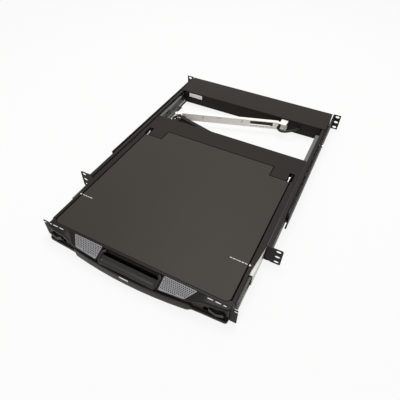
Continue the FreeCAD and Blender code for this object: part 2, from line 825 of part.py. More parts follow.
def key_rows():
    """Width of every key of each row, in key pitches, from the function row to the space bar."""
    return [
        [1] * 15,
        [1] * 13 + [2],
        [1.5] + [1] * 12 + [1.5],
        [1.75] + [1] * 11 + [2.25],
        [2.25] + [1] * 10 + [1.75, 1],
        [1.25, 1.25, 1.25, 6, 1.25, 1, 1, 1, 1],
    ]


NUMBER_PAD = [[1] * 4, [1] * 4, [1] * 4, [1] * 4, [1] * 4, [2, 1, 1]]
BLOCK_WIDE = 15
PAD_WIDE = 4
PAD_APART = 0.5
keys_left = -(BLOCK_WIDE + PAD_APART + PAD_WIDE) / 2 * key_pitch
pad_left = keys_left + (BLOCK_WIDE + PAD_APART) * key_pitch
keys_end = keys_start + 5 * row_pitch
function_start = keys_end + function_gap


def deck():
    """Keyboard deck: a folded plate whose sides rise to the trim strips beside the lid."""
    body = new_body("deck")
    inner = trim_inner + steel
    section = [(-trim_half, top_level), (-trim_half, under_top), (-inner, under_top), (-inner, deck_under),
               (inner, deck_under), (inner, under_top), (trim_half, under_top), (trim_half, top_level),
               (trim_inner, top_level), (trim_inner, deck_level), (-trim_inner, deck_level),
               (-trim_inner, top_level)]
    rear = lid_end + shoulder_gap
    pad(body, "deck_fold", "XZ", [section], tray_start, rear)
    beyond = trim_half + 1
    taper = [(trim_nose_half, tray_start - 1), (beyond, tray_start - 1), (beyond, trim_taper_to),
             (trim_half, trim_taper_to), (trim_nose_half, trim_taper_from)]
    pocket(body, "deck_taper_right", "XY", [taper], under_top, top_level)
    pocket(body, "deck_taper_left", "XY", [flip(taper)], under_top, top_level)
    trough = rectangle((-trim_inner, trim_inner), (hinge_along - 20, rear + 1))
    pocket(body, "deck_trough", "XY", [trough], deck_under, deck_level)
    back = rectangle((-inner, inner), (tray_floor, deck_level))
    pad(body, "deck_back", "XZ", [back], hinge_along - 21, hinge_along - 19.6)
    block_end, pad_block_end = keys_left + BLOCK_WIDE * key_pitch, pad_left + PAD_WIDE * key_pitch
    function_end = function_start + function_deep
    windows = [
        rectangle((keys_left, block_end), (keys_start, keys_end)),
        rectangle((pad_left, pad_block_end), (keys_start, keys_end)),
        rectangle((keys_left, block_end), (function_start, function_end)),
        rectangle((pad_left, pad_block_end), (function_start, function_end)),
        rectangle((-pad_half, pad_half), (pad_start, pad_end)),
        rectangle((-pad_half, pad_half), (pad_start - click_deep - 3, pad_start - 2)),
    ]
    pocket(body, "deck_windows", "XY", windows, deck_under, deck_level)
    finish("deck", body, "drawer")


def key_cap(name, left, front, wide, deep):
    """A cap that narrows upwards; a wedge laid so that its taper stands up."""
    cap = document.addObject("Part::Wedge", name)
    cap.Placement = FreeCAD.Placement(FreeCAD.Vector(), FreeCAD.Rotation(FreeCAD.Vector(1, 0, 0), 90))
    for edge, value in (("Xmin", 0), ("Xmax", wide), ("X2min", key_taper), ("X2max", wide - key_taper),
                        ("Ymin", 0), ("Ymax", key_tall), ("Zmin", -amount(deep)), ("Zmax", 0),
                        ("Z2min", key_taper - deep), ("Z2max", -key_taper)):
        bind(cap, edge, value)
    place(cap, left, front, key_foot)
    return cap


def keyboard():
    base = block("keyboard_case", (keys_left - 2, pad_left + PAD_WIDE * key_pitch + 2),
                 (keys_start - 2, function_start + function_deep + 2), (tray_floor, key_base))
    finish("keyboard_base", base, "drawer")
    for row, widths in enumerate(key_rows()):
        deep = function_deep if row == 0 else row_pitch
        front = function_start if row == 0 else keys_start + (5 - row) * row_pitch
        caps = []
        for start, group_widths in ((keys_left, widths), (pad_left, NUMBER_PAD[row])):
            reach = 0
            for wide in group_widths:
                left = start + reach * key_pitch + key_gap / 2
                caps.append(key_cap(f"key_{row}_{len(caps)}", left, front + key_gap / 2,
                                    wide * key_pitch - key_gap, deep - key_gap))
                reach += wide
        finish(f"keys_row_{row + 1}", group(f"key_row_{row}", *caps), "drawer")


def touchpad():
    gap = running_gap
    plate = block("touchpad_plate", (gap - pad_half, pad_half - gap), (pad_start + gap, pad_end - gap),
                  (deck_under - 2, deck_level - 0.3))
    flange = block("touchpad_flange", (-pad_half - 3, pad_half + 3), (pad_start - 1, pad_end + 3),
                   (deck_under - 3, deck_under))
    finish("touchpad", fuse("touchpad_whole", plate, flange), "drawer")
    front = pad_start - click_deep - 3
    for name, span in (("left", (gap - pad_half, -gap)), ("right", (gap, pad_half - gap))):
        cap = new_body("click_" + name)
        outline = rectangle(span, (front + gap, front + click_deep + 1 - gap))
        pad(cap, f"click_{name}_cap", "XY", [outline], deck_under - 1.2, deck_level + 1.0)
        soften(cap, f"click_{name}_edges", 0.6,
               lambda edge: near(edge.CenterOfMass.z, deck_level + 1.0))
        finish("click_button_" + name, cap, "drawer")


# ---------------------------------------------------------------- lid

def lid_outline(inset):
    """The lid seen from above, with round front corners and its tongue at the rear."""
    half, tongue = lid_half - inset, tongue_half - inset
    front, shoulder, back = lid_start + inset, lid_end - inset, tongue_end - inset
    bend_x, bend_y = lid_half - lid_corner, lid_start + lid_corner
    reach = (lid_corner - inset) * math.sqrt(0.5)
    return mirror_image([(bend_x, front), ("arc", bend_x + reach, bend_y - reach), (half, bend_y),
                         (half, shoulder), (tongue, shoulder), (tongue, back)])


def lid_cover():
    """Pressed back shell of the screen, open downwards."""
    body = new_body("lid_cover")
    frame_head = lid_foot + frame_thick
    pad(body, "cover_block", "XY", [lid_outline(0)], frame_head, top_level)
    soften(body, "cover_rim", 0.7, lambda edge: near(edge.CenterOfMass.z, top_level), bevelled=True)
    pocket(body, "cover_hollow", "XY", [lid_outline(lid_wall)], frame_head, top_level - lid_wall)
    out = arm_outer + running_gap
    slot = (out - hinge_plate - 2 * running_gap, out)
    slots = [rectangle(slot, (frame_head, top_level - lid_wall)),
             rectangle((-slot[1], -slot[0]), (frame_head, top_level - lid_wall))]
    pocket(body, "cover_arm_slots", "XZ", slots, lid_end - lid_wall - 1, lid_end + 1)
    finish("lid_cover", body, "drawer")


def screen_frame():
    body = new_body("screen_frame")
    pad(body, "frame_plate", "XY", [lid_outline(0)], lid_foot, lid_foot + frame_thick)
    window = rectangle((-screen_half, screen_half), (screen_start, screen_end))
    pocket(body, "frame_window", "XY", [window], lid_foot, lid_foot + frame_thick)
    finish("screen_frame", body, "drawer")


def screen():
    foot = lid_foot + frame_thick
    glass = block("glass_plate", (-screen_half - 3, screen_half + 3), (screen_start - 3, screen_end + 3),
                  (foot, foot + glass_thick))
    finish("screen_glass", glass, "drawer")
    panel = block("panel_block", (-screen_half - 6, screen_half + 6), (screen_start - 6, screen_end + 6),
                  (foot + glass_thick, foot + glass_thick + panel_thick))
    finish("screen_panel", panel, "drawer")


arm_outer = lid_half - lid_wall - running_gap
arm_inner = arm_outer - hinge_plate


def hinge_arm():
    """Steel arm screwed inside the lid, with the round eye that turns on the hinge pin."""
    neck_foot = lid_foot + frame_thick + running_gap
    neck = block("arm_neck", (arm_inner, arm_outer), (lid_end - 26, hinge_along),
                 (neck_foot, top_level - lid_wall - running_gap))
    eye = rod("arm_eye_disc", "X", hinge_eye, (arm_inner, arm_outer), along=hinge_along, up=hinge_up)
    bore = rod("arm_bore", "X", hinge_pin + pin_gap, (arm_inner - 1, arm_outer + 1),
               along=hinge_along, up=hinge_up)
    trimmed = cut("arm_with_bore", fuse("arm_blank", neck, eye), bore)
    finish_pair("hinge_arm", trimmed, "drawer")


def hinge_bracket():
    """Bracket on the tray wall that carries the hinge pin."""
    face = arm_outer + 0.6
    plate = block("hinge_plate_block", (face, face + 2), (hinge_along - 11, hinge_along + 11),
                  (tray_floor, hinge_up + hinge_eye - running_gap))
    foot = block("hinge_foot", (face, tray_inside), (hinge_along - 11, hinge_along + 11),
                 (tray_floor, tray_floor + 2))
    pin = rod("hinge_pin_bar", "X", hinge_pin, (arm_inner - 1.5, face + 1), along=hinge_along, up=hinge_up)
    finish_pair("hinge_bracket", fuse("hinge_bracket_whole", plate, foot, pin), "drawer")


# ---------------------------------------------------------------- moulded front

def fall(along):
    """Height of the sloping nose at a distance behind the drawer ears."""
    return top_level - (slope_back - along) * slope_rate


def slope_slab(name, above, below, reach, along):
    """A slab parallel to the slope, between two heights measured from it."""
    body = new_body(name)
    back, front = along
    side = [(back, fall(back) + above), (back, fall(back) - below),
            (front, fall(front) - below), (front, fall(front) + above)]
    pad(body, name + "_slab", "YZ", [side], reach[0], reach[1])
    return body


def grille_outline(sign, grow):
    """Outline of a grille seen from above: its outer end leans in and its front edge runs askew."""
    back = slope_back - 0.7 + grow
    inner = grille_in - grow
    return [(sign * inner, back), (sign * (grille_out + grow), back),
            (sign * (grille_front_out + grow), grille_slant - grille_front - grow),
            (sign * inner, -grille_front - grow)]


def visor_outline():
    """Top of the moulding: it hugs the round corners of the lid and swells forward over the nose."""
    bend_x, bend_y = lid_half - lid_corner, lid_start + lid_corner
    radius = bend_y - bezel_back
    reach = radius * math.sqrt(0.5)
    wing = trim_inner - seat_gap
    back = [(bend_x, bezel_back), ("arc", bend_x + reach, bend_y - reach), (bend_x + radius, bend_y),
            (wing, bend_y), (wing, tray_start), (bezel_half, tray_start)]
    front = [(bezel_half, -visor_end), ("arc", (bezel_half + nose_shoulder) / 2, -visor_quarter),
             (nose_shoulder, -visor_shoulder), (nose_half, -nose_corner)]
    return mirror_image(back + front, [("arc", 0, -nose_front)])


def lip_outlines():
    """Lower lip at the ends and the bellied middle that stands forward of it."""
    ends = mirror_image([(lip_half, tray_start), (lip_half, -lip_end),
                         ("arc", (lip_half + lip_step_half) / 2, -lip_quarter), (lip_step_half, -lip_step)])
    belly = mirror_image([(lip_step_half, tray_start), (lip_step_half, -lip_step), (belly_half, -belly_end)],
                         [("arc", 0, -belly_front)])
    return ends, belly


def bezel():
    """Moulding across the front: visor, sloping nose, recessed ends and the bellied lower lip."""
    body = new_body("bezel")
    pad(body, "bezel_visor", "XY", [visor_outline()], top_level - visor_thick, top_level)
    soften(body, "bezel_visor_corners", visor_corner,
           lambda edge: runs(edge, 2) and near(edge.CenterOfMass.y, -visor_end))
    ends, belly = lip_outlines()
    pad(body, "bezel_lip", "XY", [ends], ear_foot, lip_head)
    soften(body, "bezel_lip_corners", lip_corner,
           lambda edge: runs(edge, 2) and near(edge.CenterOfMass.y, -lip_end))
    pad(body, "bezel_belly", "XY", [belly], ear_foot, groove_foot)
    nose = mirror_image([(nose_shoulder, 0), (nose_shoulder, -visor_shoulder), (nose_half, -nose_corner)],
                        [("arc", 0, -nose_front)])
    pad(body, "bezel_nose", "XY", [nose], nose_foot, top_level - visor_thick)
    core = mirror_image([(lip_half, bezel_back), (lip_half, recess_depth - visor_end),
                         ("arc", (lip_half + nose_shoulder) / 2, recess_depth - visor_quarter),
                         (nose_shoulder, recess_depth - visor_shoulder),
                         (nose_half, groove_depth - nose_corner)], [("arc", 0, groove_depth - nose_front)])
    pad(body, "bezel_core", "XY", [core], lip_head, top_level - visor_thick)
    seat = rectangle((-lip_half, lip_half), (bezel_back, tray_start))
    pad(body, "bezel_deck_seat", "XY", [seat], lip_head, deck_level)
    cheek = [(belly_half, lip_head), (recess_half - 11, lip_head), ("arc", recess_half - 8, nose_foot - 3),
             (recess_half, top_level - visor_thick), (belly_half, top_level - visor_thick)]
    pad(body, "bezel_cheeks", "XZ", [cheek, flip(cheek)], -cheek_front, -visor_end)
    well = rectangle((handle_rim - handle_half, handle_half - handle_rim),
                     (handle_rim - handle_front, finger_back + 0.5))
    pocket(body, "bezel_finger_well", "XY", [well], well_foot, top_level)
    for name, sign in (("right", 1), ("left", -1)):
        run_in = latch_in - latch_travel - 2
        ends = sorted((sign * run_in, sign * (latch_out + 2)), key=lambda item: item.value)
        track = rectangle(ends, (latch_foot - 0.6, latch_foot + latch_tall + 0.6))
        pocket(body, f"latch_track_{name}", "XZ", [track], -cheek_front, 3)
        run = sorted((sign * run_in, sign * (bezel_half + 1)), key=lambda item: item.value)
        tunnel = rectangle(run, (slide_mid - 3.5, slide_mid + 3.5))
        pocket(body, f"latch_tunnel_{name}", "XZ", [tunnel], 2, 7)
    return body


def nose_fall():
    """What the slope and its two folded ends take off the nose."""
    wide = new_body("nose_fall_wide")
    low = fall(-nose_corner)
    lean_x, lean_z = (nose_shoulder - nose_half) / 2, (top_level - low) / 2
    trapezium = mirror_image([(nose_shoulder + lean_x, top_level + lean_z),
                              (nose_half - lean_x, low - lean_z)])
    pad(wide, "nose_fall_ends", "XZ", [trapezium], -nose_front - 2, slope_back)
    slab = slope_slab("nose_fall_slope", 20, 0, (-nose_shoulder - 2, nose_shoulder + 2),
                      (slope_back, -nose_front - 2))
    return common("nose_fall", wide, slab)


def front_moulding():
    body = cut("bezel_with_nose", bezel(), nose_fall())
    seats = [slope_slab("handle_seat", 3, handle_thick + seat_gap,
                        (-handle_half - seat_gap, handle_half + seat_gap),
                        (slope_back - 1.5, -nose_front - 3))]
    for name, sign in (("right", 1), ("left", -1)):
        prism = new_body("grille_column_" + name)
        pad(prism, f"grille_column_{name}_pad", "XY", [grille_outline(sign, seat_gap)],
            nose_foot, top_level + 2)
        reach = sorted((sign * (grille_in - 1), sign * (grille_out + 1)), key=lambda item: item.value)
        slab = slope_slab("grille_seat_slab_" + name, 2, grille_thick + seat_gap, reach,
                          (slope_back, -grille_front - 1))
        seats.append(common("grille_seat_" + name, prism, slab))
    finish("bezel", cut("bezel_with_seats", body, *seats), "drawer")


def grilles():
    """Sheet-metal grille laid in its seat on the slope."""
    prism = new_body("grille_blank")
    pad(prism, "grille_blank_pad", "XY", [grille_outline(1, 0)], nose_foot, top_level + 2)
    slab = slope_slab("grille_sheet", 0, grille_thick, (grille_in - 1, grille_out + 1),
                      (slope_back, -grille_front - 1))
    finish_pair("grille", common("grille_plate", prism, slab), "drawer")


def handle():
    """Moulded grip: a raised rim round a dished palm rest, open behind it for the fingers."""
    body = new_body("handle")
    back = slope_back - 1.8
    front = -handle_front
    brow = front + 2.6
    side = [(back, fall(back) + handle_rise / 3), (back, fall(back) - handle_thick),
            (front + 1.4, fall(front + 1.4) - handle_thick), (front, fall(front) - handle_thick + 1.4),
            (front, fall(front) - 0.6), ("arc", front + 0.8, fall(front) + 0.5),
            (brow, fall(brow) + handle_rise)]
    pad(body, "handle_block", "YZ", [side], -handle_half, handle_half)
    inner = handle_half - handle_rim
    gap = rectangle((-inner, inner), (-finger_front, finger_back))
    pocket(body, "handle_finger_gap", "XY", [gap], nose_foot - 4, top_level + 4)
    rest = brow + 4.4
    dish = [(-finger_front + 1, fall(-finger_front + 1) - handle_dish), (rest, fall(rest) - handle_dish),
            ("arc", rest - 1.4, fall(rest - 1.4) - handle_dish / 3), (brow + 2, fall(brow + 2) + handle_rise),
            (brow + 2, top_level + 4), (-finger_front + 1, top_level + 4)]
    pocket(body, "handle_dish_cut", "YZ", [dish], -inner, inner)
    finish("handle", body, "drawer")


def latches():
    """Thumb slider with a raised chevron, and the tongue that it draws in."""
    body = new_body("latch")
    face = -latch_front
    head = latch_foot + latch_tall
    plate = rectangle((latch_in, latch_out), (latch_foot, head))
    pad(body, "latch_plate", "XZ", [plate], face, 2.6)
    chevron = [(latch_in + 1, head - 0.6), (latch_in + 4, head - 0.6), (latch_in + 10.6, latch_foot + 3.4),
               (latch_out - 0.8, head - 2.6), (latch_out - 0.8, head - 5), (latch_in + 10, latch_foot + 0.8)]
    pad(body, "latch_chevron", "XZ", [chevron], face - chevron_rise, face)
    tongue = rectangle((latch_in + 6, rail_half - ear_reach_in - 0.6), (slide_mid - 3, slide_mid + 3))
    pad(body, "latch_tongue", "XZ", [tongue], 2.4, 4.4)
    finish_pair("latch", body, "drawer")


# ---------------------------------------------------------------- cable arm

def arm_link(name, start, end, inner_start_ears, inner_end_ears):
    """A channel between two pivots: it stands behind its pivot line, with an eye at each end."""
    across, along = end[0] - start[0], end[1] - start[1]
    long = distance(across, along)
    body = new_body(name)
    web = rectangle((13, long - 13), (-1 - arm_steel, -1))
    section_low, section_high = arm_foot, arm_head
    pad(body, name + "_web", "XY", [web], section_low, section_high)
    flange = rectangle((13, long - 13), (-1 - arm_deep, -1))
    pad(body, name + "_foot", "XY", [flange], section_low, section_low + arm_steel)
    pad(body, name + "_head", "XY", [flange], section_high - arm_steel, section_high)
    for where, spot, inner in (("start", 0, inner_start_ears), ("end", long, inner_end_ears)):
        inset = arm_steel + running_gap if inner else 0
        spot = amount(spot)
        towards = 1 if where == "start" else -1
        tab = [(spot, -arm_eye), (spot + towards * 16, -arm_eye), (spot + towards * 16, -1),
               (spot + towards * 8, arm_eye * 0.6), (spot + towards * 2, arm_eye),
               (spot - towards * 3, arm_eye - 0.6), (spot - towards * arm_eye, 2.4),
               (spot - towards * arm_eye, -2.4), (spot - towards * 3, 0.6 - arm_eye)]
        for level, low in (("low", section_low + inset), ("high", section_high - arm_steel - inset)):
            pad(body, f"{name}_{where}_{level}", "XY", [tab], low, low + arm_steel)
        bore = [((spot, 0), arm_pin + pin_gap)]
        pocket(body, f"{name}_{where}_bore", "XY", [], section_low - 1, section_high + 1, bore)
    return body, across, along, long


def turn_arm(thing, label, start, across, along):
    """Lay a sub-part made along +X on the line from its pivot."""
    thing.Placement = FreeCAD.Placement(FreeCAD.Vector(), FreeCAD.Rotation(FreeCAD.Vector(0, 0, 1), 10))
    bind(thing, "Placement.Rotation.Angle", bearing(across, along))
    place(thing, start[0], start[1], -unit_mid)
    thing.Label = label
    finished.append(thing)


def cable_arm():
    root = (arm_root_x, arm_root_y)
    elbow = (arm_elbow_x, arm_elbow_y)
    tip = (arm_tip_x, arm_tip_y)
    rear, across, along, long = arm_link("rear_link", root, elbow, False, False)
    low, high = arm_foot + 9, arm_head - 2
    window = [rectangle((27.5, 89.5), (arm_foot + 4, high)), rectangle((171, 183), (high - 3, high - 1))]
    for bar in (111, 220.5):
        window.append([(bar, low), (bar, high), (bar + 10, high), (bar + 10, high - 1.4),
                       (bar + 1.4, high - 1.4), (bar + 1.4, low + 1.4), (bar + 6, low + 1.4), (bar + 6, low)])
    pocket(rear, "rear_link_window", "XZ", window, -1 - arm_steel - 0.5, 0)
    turn_arm(rear, "arm_rear_link", root, across, along)
    cable = rod("rear_cable_run", "X", cable_radius, (16, long - 16), along=-1 - arm_deep / 2 - 0.6,
                up=arm_mid)
    turn_arm(group("rear_cable_whole", cable), "cable_rear", root, across, along)
    front, across, along, long = arm_link("front_link", elbow, tip, True, True)
    turn_arm(front, "arm_front_link", elbow, across, along)
    cable = rod("front_cable_run", "X", cable_radius, (16, long - 16), along=-1 - arm_deep / 2 - 0.6,
                up=arm_mid)
    turn_arm(group("front_cable_whole", cable), "cable_front", elbow, across, along)


def arm_pins():
    """Pins riveted in the front link, at the elbow and at its tip."""
    reach = (arm_foot - 0.8, arm_head + 0.2)
    pins = [rod(f"arm_pin_{name}", "Z", arm_pin, reach, across=spot[0], along=spot[1])
            for name, spot in (("elbow", (arm_elbow_x, arm_elbow_y)), ("tip", (arm_tip_x, arm_tip_y)))]
    finish("arm_pins", group("arm_pin_pair", *pins), "rack")


def arm_base():
    """Bracket on the front of the rear box with the first pivot of the arm."""
    reach = (arm_root_x - 9, arm_root_x + 9)
    low, high = arm_foot - running_gap - arm_steel, arm_head + running_gap
    tabs = [block(f"base_tab_{name}", reach, (arm_root_y - 8, box_start), (foot, foot + arm_steel))
            for name, foot in (("low", low), ("high", high))]
    backs = [block(f"base_back_{name}", reach, (box_start - 1.5, box_start), span)
             for name, span in (("low", (low, low + 9)), ("high", (high - 8, high + arm_steel)))]
    pin = rod("base_pin", "Z", arm_pin, (low, high + arm_steel), across=arm_root_x, along=arm_root_y)
    finish("arm_base", fuse("arm_base_whole", *tabs, *backs, pin), "rack")


def arm_anchor():
    """Boss under the rear cover, over the tip of the arm."""
    tip_y = arm_tip_y + pull
    boss = block("anchor_boss", (arm_tip_x - 7, arm_tip_x + 7), (tip_y - 7, tip_y + 7),
                 (arm_head + 0.6, under_top))
    finish("arm_anchor", boss, "drawer")


outer_rail()
rail_spacers()
slide_outer()
slide_middle()
slide_inner()
rear_box()
box_cover()
rear_panel()
power_inlet()
signal_sockets()
power_switch()
circuit_board()
rear_bracket()
guide_pads()
clamp_screw()
tray()
rear_cover()
deck()
keyboard()
touchpad()
lid_cover()
screen_frame()
screen()
hinge_arm()
hinge_bracket()
front_moulding()
grilles()
handle()
latches()
cable_arm()
arm_pins()
arm_base()
arm_anchor()

document.recompute()
for thing in document.Objects:
    if "Invalid" in thing.State or "Error" in thing.State:
        raise RuntimeError(f"{thing.Name} failed: {thing.State}")
for thing in finished:
    if thing.Shape.isNull() or not thing.Shape.isValid():
        raise RuntimeError(f"{thing.Label} has no sound shape")
for thing in finished:
    thing.Shape.exportStep(f"parts/{thing.Label}.step")
    box = thing.Shape.BoundBox
    print(f"{thing.Label:22s} solids {len(thing.Shape.Solids):3d}  volume {thing.Shape.Volume:10.0f}"
          f"  x {box.XMin:7.1f} {box.XMax:7.1f}  y {box.YMin:7.1f} {box.YMax:7.1f}"
          f"  z {box.ZMin:6.1f} {box.ZMax:6.1f}")
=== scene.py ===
# Finishes, rounded forms and light for a rackmount console drawer. The CAD nodes stay where the frame puts them. New
# pieces are made in millimetres on the frame's axes (x right, y into the rack, z up from the ears' middle).
import math

import bmesh
import bpy
import numpy as np
from mathutils import Matrix, Vector
from mathutils.geometry import tessellate_polygon


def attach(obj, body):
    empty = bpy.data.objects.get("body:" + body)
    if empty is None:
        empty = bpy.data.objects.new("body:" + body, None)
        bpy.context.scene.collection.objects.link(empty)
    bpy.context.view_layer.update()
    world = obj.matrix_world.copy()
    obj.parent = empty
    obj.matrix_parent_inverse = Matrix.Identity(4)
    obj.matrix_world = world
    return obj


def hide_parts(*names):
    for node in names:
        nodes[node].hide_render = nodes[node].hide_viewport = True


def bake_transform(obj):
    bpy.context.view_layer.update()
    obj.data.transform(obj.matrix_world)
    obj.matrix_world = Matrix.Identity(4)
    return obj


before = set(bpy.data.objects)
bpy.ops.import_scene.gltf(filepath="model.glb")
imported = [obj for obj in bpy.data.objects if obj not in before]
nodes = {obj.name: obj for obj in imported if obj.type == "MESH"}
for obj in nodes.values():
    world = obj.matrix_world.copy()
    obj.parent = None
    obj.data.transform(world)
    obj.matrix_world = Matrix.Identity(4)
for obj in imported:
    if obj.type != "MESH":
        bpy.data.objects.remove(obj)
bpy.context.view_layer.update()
print("frame loaded")

mm = 0.001


# ---- camera and light ----

cameraSet = {"place": (268.95, -416.67, 567.445), "azimuth": 26.17, "elevation": 46.54, "roll": 1.31,
             "lens": 31.847, "sensor": 36.0, "clip": (0.01, 20)}


def addCamera(c):
    az, el, roll = (math.radians(c[k]) for k in ("azimuth", "elevation", "roll"))
    look = Vector((-math.sin(az) * math.cos(el), math.cos(az) * math.cos(el), -math.sin(el)))
    side = look.cross(Vector((0, 0, 1))).normalized()
    top = side.cross(look)
    right = side * math.cos(roll) + top * math.sin(roll)
    up = top * math.cos(roll) - side * math.sin(roll)
    camera = bpy.data.cameras.new("camera")
    camera.lens, camera.sensor_width, camera.sensor_fit = c["lens"], c["sensor"], "HORIZONTAL"
    camera.clip_start, camera.clip_end = c["clip"]
    obj = bpy.data.objects.new("camera", camera)
    bpy.context.collection.objects.link(obj)
    turn = Matrix((right, up, -look)).transposed().to_4x4()
    obj.matrix_world = Matrix.Translation(Vector(c["place"]) * mm) @ turn
    bpy.context.scene.camera = obj


addCamera(cameraSet)

scene = bpy.context.scene
scene.view_settings.view_transform = "Standard"


def addLamp(name, place, aim, size, power, colour=(1, 1, 1)):
    lamp = bpy.data.lights.new(name, "AREA")
    lamp.shape, lamp.size, lamp.energy, lamp.color = "DISK", size, power, colour
    obj = bpy.data.objects.new(name, lamp)
    bpy.context.collection.objects.link(obj)
    obj.location = place
    obj.rotation_euler = (Vector(aim) - Vector(place)).to_track_quat("-Z", "Y").to_euler()


# where each lamp stands and aims in metres, its size, its power and its colour
addLamp("topLamp", (-0.1, 0.7, 1.9), (0, 0.1, 0), 1.2, 27, (1.0, 0.985, 0.96))
addLamp("frontLamp", (-0.9, -1.9, 1.3), (0, 0.0, 0), 1.4, 8)


# ---- shader maths ----

class Wire:
    # an output socket that takes part in sums, so that a finish reads as a formula
    def __init__(self, mat, socket):
        self.mat, self.socket = mat, socket

    def maths(self, kind, a, b=None, clamp=False):
        return self.mat.node("ShaderNodeMath", {"operation": kind, "use_clamp": clamp},
                             {0: a} if b is None else {0: a, 1: b})[0]

    def __add__(self, b): return self.maths("ADD", self, b)
    def __radd__(self, b): return self.maths("ADD", b, self)
    def __sub__(self, b): return self.maths("SUBTRACT", self, b)
    def __rsub__(self, b): return self.maths("SUBTRACT", b, self)
    def __mul__(self, b): return self.maths("MULTIPLY", self, b)
    def clipped(self): return self.maths("ADD", self, 0.0, True)
    def size(self): return self.maths("ABSOLUTE", self)
    def sine(self): return self.maths("SINE", self)

    def step(self, low, high):
        # 0 below low, 1 above high, smooth between
        return self.mat.node("ShaderNodeMapRange", {"interpolation_type": "SMOOTHSTEP"},
                             {"Value": self, "From Min": low, "From Max": high})[0]


class Mat:
    # a material and the nodes it is built from; patterns sit on the object's own coordinates, in metres
    def __init__(self, name):
        self.data = bpy.data.materials.new(name)
        self.data.use_nodes = True
        self.tree = self.data.node_tree
        self.shader = self.tree.nodes["Principled BSDF"]
        self.object = self.node("ShaderNodeTexCoord")["Object"]

    def node(self, kind, settings=None, inputs=None):
        n = self.tree.nodes.new(kind)
        for k, v in (settings or {}).items():
            setattr(n, k, v)
        for k, v in (inputs or {}).items():
            self.plug(n.inputs[k], v)
        return Outputs(self, n)

    def plug(self, socket, v):
        if isinstance(v, Wire):
            self.tree.links.new(v.socket, socket)
        elif isinstance(v, tuple) and len(v) == 3 and socket.type == "RGBA":
            socket.default_value = (*v, 1)
        else:
            socket.default_value = v

    def set(self, **values):
        for k, v in values.items():
            self.plug(self.shader.inputs[k.replace("_", " ")], v)
        return self

    def noise(self, scale, detail=2.0, rough=0.5, at=None):
        return self.node("ShaderNodeTexNoise", {}, {"Vector": at or self.object, "Scale": scale,
                                                    "Detail": detail, "Roughness": rough})[0]

    def stretched(self, scales):
        return self.node("ShaderNodeMapping", {}, {"Vector": self.object, "Scale": scales})[0]

    def xyz(self):
        parts = self.node("ShaderNodeSeparateXYZ", {}, {0: self.object})
        return parts[0], parts[1], parts[2]

    def mix(self, amount, a, b):
        return self.node("ShaderNodeMix", {"data_type": "RGBA"}, {0: amount, 6: a, 7: b})[2]

    def bump(self, height, strength, distance):
        return self.node("ShaderNodeBump", {}, {"Height": height, "Strength": strength, "Distance": distance})[0]


class Outputs:
    # a node's outputs, by name or number
    def __init__(self, mat, n):
        self.mat, self.n = mat, n

    def __getitem__(self, k):
        return Wire(self.mat, self.n.outputs[k])


def dress(names, mat):
    for name in names.split():
        data = nodes[name].data
        data.materials.clear()
        data.materials.append(mat.data)


def both(name):
    return f"{name}_right {name}_left"


# ---- finishes ----

def powderCoat(name, colour, rough, grain=0.5, sheen=0.3):
    # baked paint: fine orange peel, faint cloudiness and a few rubbed spots
    m = Mat(name)
    cloud = m.noise(9.0, 3.0)
    peel = m.noise(1500.0, 2.0)
    wear = m.noise(160.0, 4.0, 0.7).step(0.66, 0.8)
    tone = m.mix(cloud * 0.5, colour, tuple(v * 1.25 for v in colour))
    tone = m.mix(wear * 0.12, tone, (0.16, 0.155, 0.15))
    m.set(Base_Color=tone, Roughness=cloud * 0.08 + peel * 0.06 + (rough - 0.07), Specular_IOR_Level=sheen)
    return m.set(Normal=m.bump(peel, 0.16 * grain, 0.0004))


def moulded(name, colour, rough, grain=1.0, sheen=0.5):
    # moulded plastic: a spark-eroded grain with slight differences of shine
    m = Mat(name)
    pits = m.node("ShaderNodeTexVoronoi", {"feature": "F1"}, {"Vector": m.object, "Scale": 2400.0})["Distance"]
    cloud = m.noise(14.0, 2.0)
    tone = m.mix(cloud * 0.6, colour, tuple(v * 1.3 for v in colour))
    m.set(Base_Color=tone, Roughness=cloud * 0.1 + (rough - 0.05), Specular_IOR_Level=sheen)
    return m.set(Normal=m.bump(pits, 0.1 * grain, 0.0003))


def brushed(name, colour, rough, along=(6.0, 900.0, 900.0)):
    # bare or plated metal with fine drawn lines and a few dull patches
    m = Mat(name)
    lines = m.noise(1.0, 3.0, 0.6, m.stretched(along))
    dull = m.noise(35.0, 3.0)
    m.set(Base_Color=m.mix(dull * 0.5, colour, tuple(v * 0.8 for v in colour)), Metallic=1.0,
          Roughness=lines * 0.14 + dull * 0.1 + (rough - 0.12))
    return m.set(Normal=m.bump(lines, 0.12, 0.0002))


# colour in linear light, roughness, depth of the grain, strength of the shine
lidPaint = powderCoat("lidPaint", (0.027, 0.0213, 0.0168), 0.5, 0.6, 0.2)
sheetPaint = powderCoat("sheetPaint", (0.016, 0.0126, 0.01), 0.5, 0.8, 0.12)
# the tray, rear cover, deck and hinge brackets wear the sheet paint as a darker painted-shade copy, for the way they
# face the light
shadedSheetPaint = powderCoat("shadedSheetPaint", (0.0125, 0.0098, 0.0078), 0.5, 0.7, 0.13)
railPaint = powderCoat("railPaint", (0.012, 0.0098, 0.008), 0.48, 0.8, 0.15)
bezelPlastic = moulded("bezelPlastic", (0.0095, 0.0076, 0.0063), 0.42, 0.8, 0.15)
handlePlastic = moulded("handlePlastic", (0.0125, 0.0102, 0.0085), 0.42, 0.7, 0.26)
darkPlastic = moulded("darkPlastic", (0.012, 0.012, 0.012), 0.48)
keyPlastic = moulded("keyPlastic", (0.028, 0.028, 0.03), 0.5, 0.5)
padPlastic = moulded("padPlastic", (0.05, 0.05, 0.052), 0.55, 0.3)
cableRubber = moulded("cableRubber", (0.014, 0.014, 0.014), 0.6, 1.4, 0.35)
zincSteel = brushed("zincSteel", (0.74, 0.73, 0.7), 0.3)
pinSteel = brushed("pinSteel", (0.6, 0.59, 0.57), 0.28, (500.0, 500.0, 8.0))
whitePaint = powderCoat("whitePaint", (0.95, 0.91, 0.85), 0.36, 0.5, 0.6)
